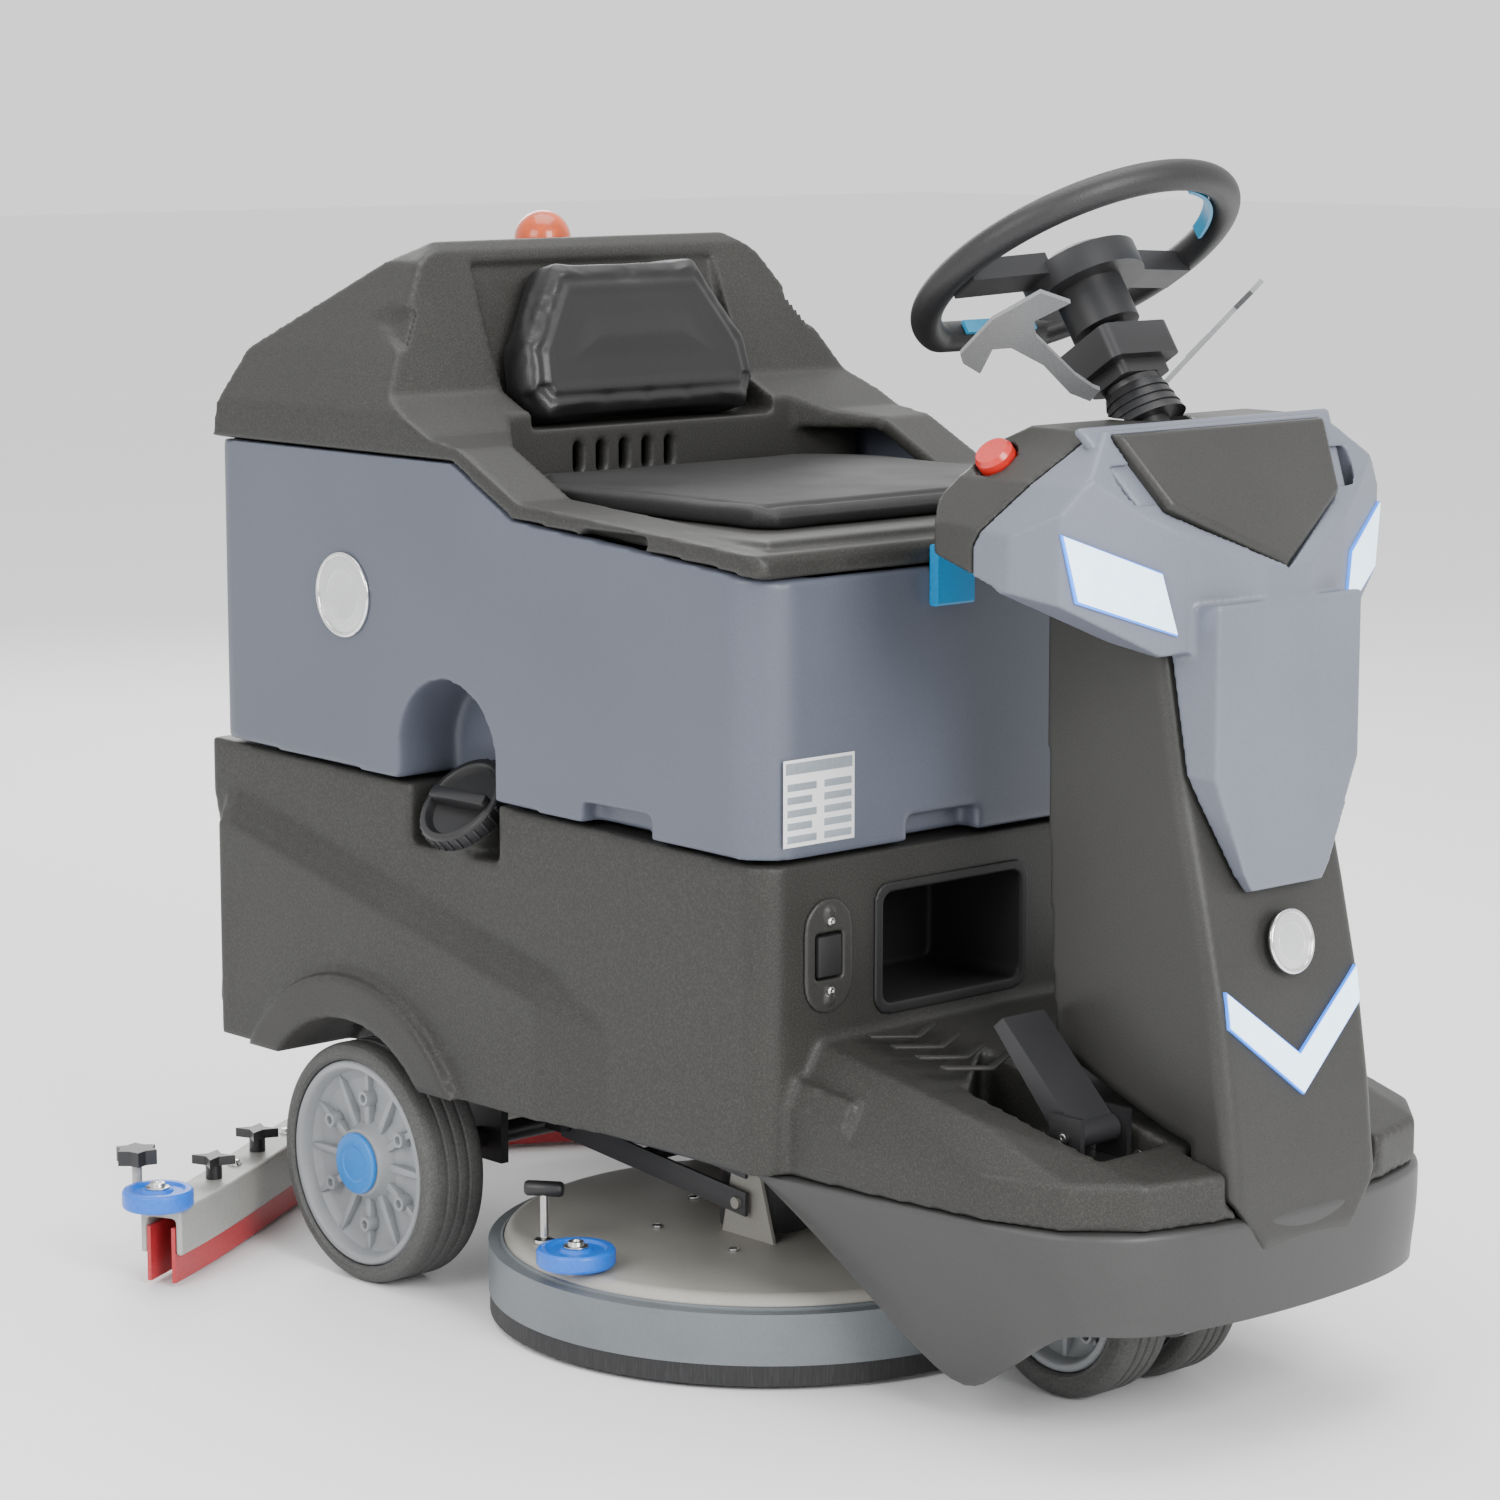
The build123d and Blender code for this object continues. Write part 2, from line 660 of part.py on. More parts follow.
with BuildPart() as chevron_lamp:
    with BuildSketch(cover_front):
        with BuildLine():
            Polyline((-92, 10), (-92, -22), (0, -96), (92, -22), (92, 10), (0, -60), close=True)
        make_face()
    extrude(amount=4)
chevron_lamp.part.label = "chevron_lamp"
export_step(chevron_lamp.part, "parts/chevron_lamp.step")

# ----------------------------------------------------------------------------
# Chassis, batteries and controller
# ----------------------------------------------------------------------------

rail_y = 165
rail_top_z = 230
lift_low_z = 160
lift_high_z = 200
pin_radius = 6
steer_pin_radius = 15

with BuildPart() as chassis_frame:
    with Locations((65, rail_y, rail_top_z), (65, -rail_y, rail_top_z)):
        Box(1070, 30, 34, align=(Align.CENTER, Align.CENTER, Align.MAX))
    with Locations((-445, 0, rail_top_z), (-215, 0, rail_top_z), (330, 0, rail_top_z)):
        Box(40, 2 * rail_y, 34, align=(Align.CENTER, Align.CENTER, Align.MAX))
    with Locations((truck_x, 0, rail_top_z)):
        Box(160, 2 * rail_y, 12, align=(Align.CENTER, Align.CENTER, Align.MAX))
        Cylinder(steer_pin_radius + 0.1, 60, mode=Mode.SUBTRACT)
    # rear axle on its drop plates
    with Locations((rear_wheel_x, rail_y, rail_top_z - 34), (rear_wheel_x, -rail_y, rail_top_z - 34)):
        Box(70, 10, 90, align=(Align.CENTER, Align.CENTER, Align.MAX))
    with BuildSketch(Plane.XZ):
        with Locations((rear_wheel_x, rear_wheel_radius)):
            Circle(rear_axle_radius)
    extrude(amount=338, both=True)
    # deck lift hangers and their two pins
    with Locations((-200, deck_y - 52, 215), (-200, deck_y + 52, 215)):
        Box(70, 6, 70, align=(Align.CENTER, Align.CENTER, Align.MAX))
    with BuildSketch(Plane.XZ.offset(-deck_y)):
        with Locations((lift_pivot_x, lift_low_z), (lift_pivot_x, lift_high_z)):
            Circle(pin_radius)
    extrude(amount=arm_offset_y + 8, both=True)
    # squeegee hanger
    with Locations((-435, 34, rail_top_z - 34), (-435, -34, rail_top_z - 34)):
        Box(46, 6, 34, align=(Align.CENTER, Align.CENTER, Align.MAX))
    with BuildSketch(Plane.XZ):
        with Locations((squeegee_pivot_x - 18, squeegee_pivot_z)):
            Circle(8)
    extrude(amount=52, both=True)
chassis_frame.part.label = "chassis_frame"
export_step(chassis_frame.part, "parts/chassis_frame.step")

with BuildPart() as batteries:
    with Locations((-190, 0, 330)):
        with GridLocations(270, 190, 2, 2):
            Box(260, 180, 190, align=(Align.CENTER, Align.CENTER, Align.MIN))
    with Locations((-190, 0, 520)):
        with GridLocations(270, 190, 2, 2):
            with Locations((-90, 0, 0), (90, 0, 0)):
                Cylinder(8, 14, align=(Align.CENTER, Align.CENTER, Align.MIN))
batteries.part.label = "batteries"
export_step(batteries.part, "parts/batteries.step")

with BuildPart() as motor_controller:
    with Locations((135, 0, 340)):
        Box(60, 160, 110, align=(Align.CENTER, Align.CENTER, Align.MIN))
    fillet(motor_controller.edges().filter_by(Axis.Z), 6)
motor_controller.part.label = "motor_controller"
export_step(motor_controller.part, "parts/motor_controller.step")

# ----------------------------------------------------------------------------
# Drive truck: fork, motor and twin wheels
# ----------------------------------------------------------------------------

with BuildPart() as steer_fork:
    with Locations((truck_x, 0, 217)):
        Cylinder(70, 9, align=(Align.CENTER, Align.CENTER, Align.MAX))
        Cylinder(steer_pin_radius, 34, align=(Align.CENTER, Align.CENTER, Align.MIN))
    with BuildSketch(Plane.XZ):
        with BuildLine():
            Polyline((580, 209), (650, 160), (650, 105), (560, 84), (460, 80), (456, 120), (470, 209), close=True)
        make_face()
    extrude(amount=8, both=True)
    with BuildSketch(Plane.XZ):
        with Locations((drive_wheel_x, drive_wheel_radius)):
            Circle(10)
    extrude(amount=88, both=True)
steer_fork.part.label = "steer_fork"
export_step(steer_fork.part, "parts/steer_fork.step")

with BuildPart() as drive_motor:
    with BuildSketch(Plane.XZ.offset(8)):
        with Locations((620, 130)):
            Circle(37)
    extrude(amount=70)
drive_motor.part.label = "drive_motor"
export_step(drive_motor.part, "parts/drive_motor.step")

for side_name, side in (("left", 1), ("right", -1)):
    with BuildPart() as drive_wheel:
        with BuildSketch(Plane.XZ.offset(-side * drive_wheel_y)):
            with Locations((drive_wheel_x, drive_wheel_radius)):
                Circle(drive_wheel_radius)
        extrude(amount=drive_wheel_width / 2, both=True)
        fillet(drive_wheel.edges(), 8)
        with BuildSketch(Plane.XZ.offset(-side * (drive_wheel_y + drive_wheel_width / 2 - 12))):
            with Locations((drive_wheel_x, drive_wheel_radius)):
                Circle(72)
                Circle(26, mode=Mode.SUBTRACT)
        extrude(amount=-side * 20, mode=Mode.SUBTRACT)
        with BuildSketch(Plane.XZ):
            with Locations((drive_wheel_x, drive_wheel_radius)):
                Circle(10.05)
        extrude(amount=200, both=True, mode=Mode.SUBTRACT)
    drive_wheel.part.label = f"drive_wheel_{side_name}"
    export_step(drive_wheel.part, f"parts/drive_wheel_{side_name}.step")

# ----------------------------------------------------------------------------
# Rear wheels: tyre, rim and hub cap on each side
# ----------------------------------------------------------------------------

wheel_inner_y = band_half_width - rear_wheel_width

for side_name, side in (("left", 1), ("right", -1)):
    inner_plane = Plane(origin=(rear_wheel_x, side * wheel_inner_y, rear_wheel_radius), z_dir=(0, side, 0))
    with BuildPart() as rear_tyre:
        with BuildSketch(inner_plane):
            Circle(rear_wheel_radius)
            Circle(rear_rim_radius, mode=Mode.SUBTRACT)
        extrude(amount=rear_wheel_width)
        tread_edges = rear_tyre.edges().filter_by(GeomType.CIRCLE).filter_by(lambda e: e.radius > rear_rim_radius + 1)
        fillet(tread_edges, 9)
    rear_tyre.part.label = f"rear_tyre_{side_name}"
    export_step(rear_tyre.part, f"parts/rear_tyre_{side_name}.step")

    with BuildPart() as rear_rim:
        with BuildSketch(inner_plane):
            Circle(rear_rim_radius)
            Circle(rear_axle_radius + 0.05, mode=Mode.SUBTRACT)
        extrude(amount=rear_wheel_width - 6)
        with BuildSketch(inner_plane.offset(rear_wheel_width - 20)):
            Circle(98)
            Circle(34, mode=Mode.SUBTRACT)
        extrude(amount=40, mode=Mode.SUBTRACT)
        with BuildSketch(inner_plane):
            Circle(98)
            Circle(34, mode=Mode.SUBTRACT)
        extrude(amount=44, mode=Mode.SUBTRACT)
    rear_rim.part.label = f"rear_rim_{side_name}"
    export_step(rear_rim.part, f"parts/rear_rim_{side_name}.step")

    with BuildPart() as hub_cap:
        with BuildSketch(inner_plane.offset(rear_wheel_width - 6)):
            Circle(33)
        extrude(amount=6)
        fillet(hub_cap.faces().sort_by(Axis.Y)[-1 if side > 0 else 0].edges(), 3)
    hub_cap.part.label = f"hub_cap_{side_name}"
    export_step(hub_cap.part, f"parts/hub_cap_{side_name}.step")

# ----------------------------------------------------------------------------
# Steering: fixed column, clamp, bellows; turning boss, rim and inserts; paddles
# ----------------------------------------------------------------------------

column_foot = column_plane(292).origin

with BuildPart() as steering_column:
    with BuildSketch(column_plane(292)):
        Circle(column_radius)
    extrude(amount=214)
    with Locations((column_foot.X, 0, 783)):
        Cylinder(column_radius, column_foot.Z - 783, align=(Align.CENTER, Align.CENTER, Align.MIN))
        Box(70, 150, 8, align=(Align.CENTER, Align.CENTER, Align.MIN))
    with Locations(column_foot):
        Sphere(column_radius)
    with BuildSketch(column_plane(120)):
        Circle(12.05)
    extrude(amount=60, mode=Mode.SUBTRACT)
steering_column.part.label = "steering_column"
export_step(steering_column.part, "parts/steering_column.step")

with BuildPart() as column_clamp:
    with BuildSketch(column_plane(122)):
        RectangleRounded(74, 92, 10)
        Circle(column_radius + 0.02, mode=Mode.SUBTRACT)
    extrude(amount=34)
    with BuildSketch(column_plane(136)):
        RectangleRounded(54, 66, 8)
        Circle(column_radius + 0.02, mode=Mode.SUBTRACT)
    extrude(amount=14)
column_clamp.part.label = "column_clamp"
export_step(column_clamp.part, "parts/column_clamp.step")

with BuildPart() as steering_bellows:
    with BuildSketch(column_plane(137)):
        Circle(28)
        Circle(column_radius + 1, mode=Mode.SUBTRACT)
    extrude(amount=-6)
    for fold in range(4):
        with BuildSketch(column_plane(143 + 9 * fold)):
            Circle(29 + 2 * fold)
        extrude(amount=-9, taper=-20)
    with BuildSketch(Plane.XY.offset(955)):
        Rectangle(1400, 400)
    extrude(amount=-80, mode=Mode.SUBTRACT)
    with BuildSketch(column_plane(200)):
        Circle(column_radius + 0.5)
    extrude(amount=100, mode=Mode.SUBTRACT)
steering_bellows.part.label = "steering_bellows"
export_step(steering_bellows.part, "parts/steering_bellows.step")

with BuildSketch() as rim_outline:
    Circle(rim_centre_radius)
    with Locations((-rim_flat - 100, 0)):
        Rectangle(200, 400, mode=Mode.SUBTRACT)
    fillet(rim_outline.vertices(), 22)

rim_path = column_plane(0).from_local_coords(rim_outline.sketch.face().outer_wire())
rim_start = rim_path @ 0
rim_along = rim_path % 0

with BuildPart() as steering_rim:
    with BuildSketch(Plane(origin=rim_start, z_dir=rim_along)):
        Circle(rim_tube_radius)
    sweep(path=rim_path)
steering_rim.part.label = "steering_rim"
export_step(steering_rim.part, "parts/steering_rim.step")

with BuildPart() as steering_boss:
    with BuildSketch(column_plane(76)):
        Circle(34)
    extrude(amount=44)
    with BuildSketch(column_plane(32)):
        Circle(58)
    extrude(amount=26)
    with BuildSketch(column_plane(116)):
        Circle(12)
    extrude(amount=60)
    for spoke_angle in (95, -95):
        with BuildSketch(column_plane(18)):
            with Locations(Rotation(0, 0, spoke_angle)):
                with Locations((100, 0)):
                    Rectangle(100, 34)
        extrude(amount=22)
    add(steering_rim.part, mode=Mode.SUBTRACT)
steering_boss.part.label = "steering_boss"
export_step(steering_boss.part, "parts/steering_boss.step")

with BuildPart() as rim_inserts:
    # three liners on the inner side of the rim
    with BuildSketch(column_plane(7)):
        with Locations((-rim_flat + 17.5, 0)):
            Rectangle(4, 96)
    extrude(amount=14)
    for middle_angle, half_span in ((42, 28), (-42, 28)):
        with BuildSketch(column_plane(7)):
            with BuildLine():
                CenterArc((0, 0), 139.5, middle_angle - half_span, 2 * half_span)
                CenterArc((0, 0), 135.5, middle_angle - half_span, 2 * half_span)
                Line(Vector(139.5, 0).rotate(Axis.Z, middle_angle - half_span),
                     Vector(135.5, 0).rotate(Axis.Z, middle_angle - half_span))
                Line(Vector(139.5, 0).rotate(Axis.Z, middle_angle + half_span),
                     Vector(135.5, 0).rotate(Axis.Z, middle_angle + half_span))
            make_face()
        extrude(amount=14)
rim_inserts.part.label = "rim_inserts"
export_step(rim_inserts.part, "parts/rim_inserts.step")

paddle_hinge = Vector(493, 46, 984)

with BuildPart() as paddle_left:
    blade_plane = Plane(origin=paddle_hinge, x_dir=(-0.295, 0.888, 0.352), z_dir=(-0.57, -0.46, 0.68))
    with BuildSketch(blade_plane):
        with BuildLine():
            Polyline((0, 21), (23, 21), (67, 1), (107, -4), (121, 6), (113, 39), (135, 35), (144, 26), (143, -27),
                     (124, -78), (92, -80), (108, -44), (95, -28), (33, -2), (8, 4), (0, 4), close=True)
        make_face()
    extrude(amount=5)
paddle_left.part.label = "paddle_left"
export_step(paddle_left.part, "parts/paddle_left.step")

with BuildPart() as paddle_right:
    mirror(paddle_left.part, about=Plane.XZ)
paddle_right.part.label = "paddle_right"
export_step(paddle_right.part, "parts/paddle_right.step")

# ----------------------------------------------------------------------------
# Operator's controls
# ----------------------------------------------------------------------------

with BuildPart() as emergency_stop:
    with BuildSketch(stop_plane.offset(-22)):
        Circle(8)
    extrude(amount=30)
    with BuildSketch(stop_plane.offset(8)):
        Circle(19)
    extrude(amount=12)
    with BuildSketch(stop_plane.offset(20)):
        Circle(19)
    extrude(amount=5, taper=30)
emergency_stop.part.label = "emergency_stop"
export_step(emergency_stop.part, "parts/emergency_stop.step")

dash_plane = Plane(origin=(445.7, 0, 870), x_dir=(0, -1, 0), z_dir=(-50, 0, 12))

with BuildPart() as dash_panel:
    with BuildSketch(dash_plane):
        RectangleRounded(180, 44, 8)
        with Locations((66, 0)):
            Circle(8.1, mode=Mode.SUBTRACT)
    extrude(amount=5)
dash_panel.part.label = "dash_panel"
export_step(dash_panel.part, "parts/dash_panel.step")

with BuildPart() as key_switch:
    with BuildSketch(dash_plane.offset(0.5)):
        with Locations((66, 0)):
            Circle(8)
    extrude(amount=9)
    with BuildSketch(dash_plane.offset(9)):
        with Locations((66, 0)):
            Rectangle(5, 24)
    extrude(amount=20)
key_switch.part.label = "key_switch"
export_step(key_switch.part, "parts/key_switch.step")

with BuildPart() as fill_cap:
    with BuildSketch(cap_plane):
        Circle(55)
    extrude(amount=20)
    fillet(fill_cap.faces().sort_by(Axis.Z)[-1].edges(), 4)
    with BuildSketch(cap_plane.offset(20)):
        Rectangle(84, 14)
    extrude(amount=9)
fill_cap.part.label = "fill_cap"
export_step(fill_cap.part, "parts/fill_cap.step")

pedal_y = -152
pedal_hinge_x = 588
pedal_hinge_z = 300

with BuildPart() as pedal_bracket:
    with Locations((550, pedal_y, 266)):
        Box(150, 76, 6, align=(Align.CENTER, Align.CENTER, Align.MIN))
    with Locations((588, pedal_y - 32, 266), (588, pedal_y + 32, 266)):
        Box(40, 6, 54, align=(Align.CENTER, Align.CENTER, Align.MIN))
    with BuildSketch(Plane.XZ.offset(-pedal_y)):
        with Locations((pedal_hinge_x, pedal_hinge_z)):
            Circle(6)
    extrude(amount=38, both=True)
pedal_bracket.part.label = "pedal_bracket"
export_step(pedal_bracket.part, "parts/pedal_bracket.step")

with BuildPart() as accelerator_pedal:
    with BuildSketch(Plane.XZ.offset(-pedal_y)):
        with Locations((pedal_hinge_x, pedal_hinge_z)):
            Circle(13)
        with BuildLine():
            Polyline((590, 312), (500, 398), (488, 388), (574, 292), close=True)
        make_face()
        with Locations((pedal_hinge_x, pedal_hinge_z)):
            Circle(6.1, mode=Mode.SUBTRACT)
    extrude(amount=28, both=True)
accelerator_pedal.part.label = "accelerator_pedal"
export_step(accelerator_pedal.part, "parts/accelerator_pedal.step")

# ----------------------------------------------------------------------------
# Scrub deck on its parallel lift arms
# ----------------------------------------------------------------------------

deck_axis = Plane(origin=(deck_x, deck_y, 0))
deck_roller_y = deck_y - 262

with BuildPart() as deck_housing:
    with BuildSketch(deck_axis.offset(70)):
        Circle(housing_radius)
    extrude(amount=housing_top_z - 70)
    fillet(deck_housing.faces().sort_by(Axis.Z)[-1].edges(), 14)
    with BuildSketch(deck_axis.offset(70)):
        Circle(housing_radius - 8)
    extrude(amount=housing_top_z - 78, mode=Mode.SUBTRACT)
    with BuildSketch(deck_axis.offset(70)):
        Circle(18)
    extrude(amount=40, mode=Mode.SUBTRACT)
    # stud of the guide roller
    with Locations((deck_x, deck_roller_y, housing_top_z - 5)):
        Cylinder(12, 8.7, align=(Align.CENTER, Align.CENTER, Align.MIN))
        Cylinder(6, 28, align=(Align.CENTER, Align.CENTER, Align.MIN))
    # lugs for the two pairs of arms
    for side in (-1, 1):
        with BuildSketch(Plane.XZ.offset(-(deck_y + side * 54))):
            with BuildLine():
                Polyline((56, housing_top_z), (134, housing_top_z), (106, 184), (76, 184), close=True)
            make_face()
        extrude(amount=-side * 4)
    with BuildSketch(Plane.XZ.offset(-deck_y)):
        with Locations((deck_pivot_x, 130)):
            Circle(pin_radius)
        with Locations((deck_pivot_x, 170)):
            Circle(pin_radius)
    extrude(amount=arm_offset_y + 6, both=True)
    with BuildSketch(Plane.XZ.offset(-deck_y)):
        with Locations((deck_pivot_x, 150)):
            Rectangle(60, 70)
    extrude(amount=53, both=True, mode=Mode.SUBTRACT)
deck_housing.part.label = "deck_housing"
export_step(deck_housing.part, "parts/deck_housing.step")

with BuildPart() as deck_skirt:
    with BuildSketch(deck_axis.offset(26)):
        Circle(skirt_radius)
        Circle(housing_radius + 0.2, mode=Mode.SUBTRACT)
    extrude(amount=52)
    with BuildSketch(deck_axis.offset(26)):
        Circle(skirt_radius - 8)
    extrude(amount=38, mode=Mode.SUBTRACT)
deck_skirt.part.label = "deck_skirt"
export_step(deck_skirt.part, "parts/deck_skirt.step")

with BuildPart() as skirt_bristles:
    with BuildSketch(deck_axis.offset(5)):
        Circle(skirt_radius - 1)
        Circle(skirt_radius - 7, mode=Mode.SUBTRACT)
    extrude(amount=21)
skirt_bristles.part.label = "skirt_bristles"
export_step(skirt_bristles.part, "parts/skirt_bristles.step")

with BuildPart() as scrub_brush:
    with BuildSketch(deck_axis.offset(40)):
        Circle(brush_radius)
    extrude(amount=18)
    with BuildSketch(deck_axis.offset(5)):
        Circle(brush_radius - 6)
        Circle(110, mode=Mode.SUBTRACT)
    extrude(amount=35)
    with BuildSketch(deck_axis.offset(58)):
        Circle(17.5)
    extrude(amount=housing_top_z - 56)
scrub_brush.part.label = "scrub_brush"
export_step(scrub_brush.part, "parts/scrub_brush.step")

with BuildPart() as brush_motor:
    with BuildSketch(deck_axis.offset(housing_top_z)):
        Circle(50)
    extrude(amount=76)
    fillet(brush_motor.faces().sort_by(Axis.Z)[-1].edges(), 6)
    with BuildSketch(deck_axis.offset(housing_top_z)):
        Circle(18)
    extrude(amount=6, mode=Mode.SUBTRACT)
brush_motor.part.label = "brush_motor"
export_step(brush_motor.part, "parts/brush_motor.step")

with BuildPart() as deck_roller:
    with Locations((deck_x, deck_roller_y, housing_top_z + 4)):
        Cylinder(40, 18, align=(Align.CENTER, Align.CENTER, Align.MIN))
        Cylinder(6.1, 60, mode=Mode.SUBTRACT)
    fillet(deck_roller.edges().filter_by(GeomType.CIRCLE).filter_by(lambda e: e.radius > 30), 4)
deck_roller.part.label = "deck_roller"
export_step(deck_roller.part, "parts/deck_roller.step")

for level_name, low_z in (("lower", lift_low_z), ("upper", lift_high_z)):
    with BuildPart() as lift_arm:
        for side in (-1, 1):
            with BuildSketch(Plane.XZ.offset(-(deck_y + side * arm_offset_y))):
                with BuildLine():
                    Polyline((lift_pivot_x - 12, low_z - 13), (deck_pivot_x + 12, low_z - 43),
                             (deck_pivot_x + 12, low_z - 18), (lift_pivot_x - 12, low_z + 12), close=True)
                make_face()
                with Locations((lift_pivot_x, low_z), (deck_pivot_x, low_z - 30)):
                    Circle(pin_radius + 0.1, mode=Mode.SUBTRACT)
            extrude(amount=2, both=True)
        with BuildSketch(Plane.XZ.offset(-deck_y)):
            with Locations((-70, low_z - 13)):
                Circle(8)
        extrude(amount=arm_offset_y, both=True)
    lift_arm.part.label = f"lift_arm_{level_name}"
    export_step(lift_arm.part, f"parts/lift_arm_{level_name}.step")

# ----------------------------------------------------------------------------
# Squeegee: lift arm, casting, blades, rollers and knobs
# ----------------------------------------------------------------------------

squeegee_line = [(-426, -506), (-468, -428), (-560, -280), (-640, -150), (-692, 0), (-640, 150), (-560, 280),
                 (-468, 428), (-426, 506)]

with BuildPart() as squeegee_arm:
    for side in (-1, 1):
        with BuildSketch(Plane.XZ.offset(-side * 44)):
            with BuildLine():
                Polyline((-452, 192), (-424, 192), (-424, 166), (-590, 118), (-650, 118), (-650, 132), (-600, 136),
                         close=True)
            make_face()
            with Locations((squeegee_pivot_x - 18, squeegee_pivot_z)):
                Circle(8.1, mode=Mode.SUBTRACT)
        extrude(amount=3, both=True)
    with Locations((-650, 0, 118)):
        Box(120, 94, 8, align=(Align.CENTER, Align.CENTER, Align.MIN))
    # parking handle behind the squeegee
    with Locations((-716, 0, 118)):
        Box(28, 60, 8, align=(Align.CENTER, Align.CENTER, Align.MIN))
    with Locations((swing_x, 0, 126)):
        Cylinder(8, 34, align=(Align.CENTER, Align.CENTER, Align.MAX))
squeegee_arm.part.label = "squeegee_arm"
export_step(squeegee_arm.part, "parts/squeegee_arm.step")

with BuildPart() as squeegee_body:
    with BuildSketch(Plane.XY.offset(35)) as casting_plan:
        with BuildLine():
            Spline(*squeegee_line)
        trace(line_width=50)
    extrude(amount=50)
    with BuildSketch(Plane.XY.offset(35)):
        with BuildLine():
            Spline(*squeegee_line)
        trace(line_width=34)
    extrude(amount=40, mode=Mode.SUBTRACT)
    with Locations((-655, 0, 85)):
        Box(90, 120, 6, align=(Align.CENTER, Align.CENTER, Align.MIN))
    with Locations((swing_x, 0, 91)):
        Cylinder(20, 24, align=(Align.CENTER, Align.CENTER, Align.MIN))
    with Locations((swing_x, 0, 100)):
        Cylinder(8.1, 80, mode=Mode.SUBTRACT)
    # studs for rollers and height knobs
    for side in (-1, 1):
        with Locations((-430, side * 506, 80)):
            Cylinder(13, 7, align=(Align.CENTER, Align.CENTER, Align.MIN))
            Cylinder(6, 30, align=(Align.CENTER, Align.CENTER, Align.MIN))
        with Locations((-480, side * 498, 80)):
            Cylinder(6, 45, align=(Align.CENTER, Align.CENTER, Align.MIN))
        with Locations((-466, side * 484, 79)):
            Box(60, 50, 6, align=(Align.CENTER, Align.CENTER, Align.MIN))
squeegee_body.part.label = "squeegee_body"
export_step(squeegee_body.part, "parts/squeegee_body.step")

with BuildPart() as squeegee_blades:
    with BuildSketch(Plane.XY.offset(5)):
        with BuildLine():
            Spline(*squeegee_line)
        trace(line_width=34)
        with BuildLine():
            Spline(*squeegee_line)
        trace(line_width=25, mode=Mode.SUBTRACT)
    extrude(amount=60)
squeegee_blades.part.label = "squeegee_blades"
export_step(squeegee_blades.part, "parts/squeegee_blades.step")

with BuildPart() as blade_knobs:
    for knob_x, knob_y in ((-492, 390), (-557, 285), (-492, -390), (-557, -285)):
        with Locations((knob_x, knob_y, 85)):
            Cylinder(9, 16, align=(Align.CENTER, Align.CENTER, Align.MIN))
        with BuildSketch(Plane(origin=(knob_x, knob_y, 101))):
            with BuildLine():
                Polyline(*star_points(4, 24, 10), close=True)
            make_face()
        extrude(amount=10)
blade_knobs.part.label = "blade_knobs"
export_step(blade_knobs.part, "parts/blade_knobs.step")

for side_name, side in (("left", 1), ("right", -1)):
    with BuildPart() as end_roller:
        with Locations((-430, side * 506, 87)):
            Cylinder(38, 20, align=(Align.CENTER, Align.CENTER, Align.MIN))
            Cylinder(6.1, 60, mode=Mode.SUBTRACT)
        fillet(end_roller.edges().filter_by(GeomType.CIRCLE).filter_by(lambda e: e.radius > 30), 4)
    end_roller.part.label = f"end_roller_{side_name}"
    export_step(end_roller.part, f"parts/end_roller_{side_name}.step")

    with BuildPart() as height_knob:
        with BuildSketch(Plane(origin=(-480, side * 498, 124))):
            with BuildLine():
                Polyline(*star_points(6, 24, 17), close=True)
            make_face()
        extrude(amount=16)
        with Locations((-480, side * 498, 106)):
            Cylinder(6.1, 25.5, align=(Align.CENTER, Align.CENTER, Align.MIN), mode=Mode.SUBTRACT)
    height_knob.part.label = f"height_knob_{side_name}"
    export_step(height_knob.part, f"parts/height_knob_{side_name}.step")
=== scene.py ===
import math

import bmesh
import bpy
import numpy as np
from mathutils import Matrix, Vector


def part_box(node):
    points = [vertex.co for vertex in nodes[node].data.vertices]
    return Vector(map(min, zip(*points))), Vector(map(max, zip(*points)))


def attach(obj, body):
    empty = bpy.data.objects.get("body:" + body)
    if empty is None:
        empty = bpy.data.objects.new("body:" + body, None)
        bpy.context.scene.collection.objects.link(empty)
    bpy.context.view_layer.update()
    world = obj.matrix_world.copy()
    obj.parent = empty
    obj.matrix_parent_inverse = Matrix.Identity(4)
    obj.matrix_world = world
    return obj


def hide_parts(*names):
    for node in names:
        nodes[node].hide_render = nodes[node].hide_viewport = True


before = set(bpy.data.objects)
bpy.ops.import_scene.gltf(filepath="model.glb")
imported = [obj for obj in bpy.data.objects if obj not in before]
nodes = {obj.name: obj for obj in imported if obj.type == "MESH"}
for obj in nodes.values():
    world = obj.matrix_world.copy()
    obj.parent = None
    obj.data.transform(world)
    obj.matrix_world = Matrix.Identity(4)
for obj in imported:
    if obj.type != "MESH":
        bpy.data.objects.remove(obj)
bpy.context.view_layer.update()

MM = 0.001
ALONG_X, ALONG_Y, ALONG_Z = (1, 0, 0), (0, 1, 0), (0, 0, 1)
SHARP = math.radians(35)


# ---------------------------------------------------------------- materials

def add_node(tree, kind, **values):
    node = tree.nodes.new(kind)
    for key, value in values.items():
        setattr(node, key, value)
    return node


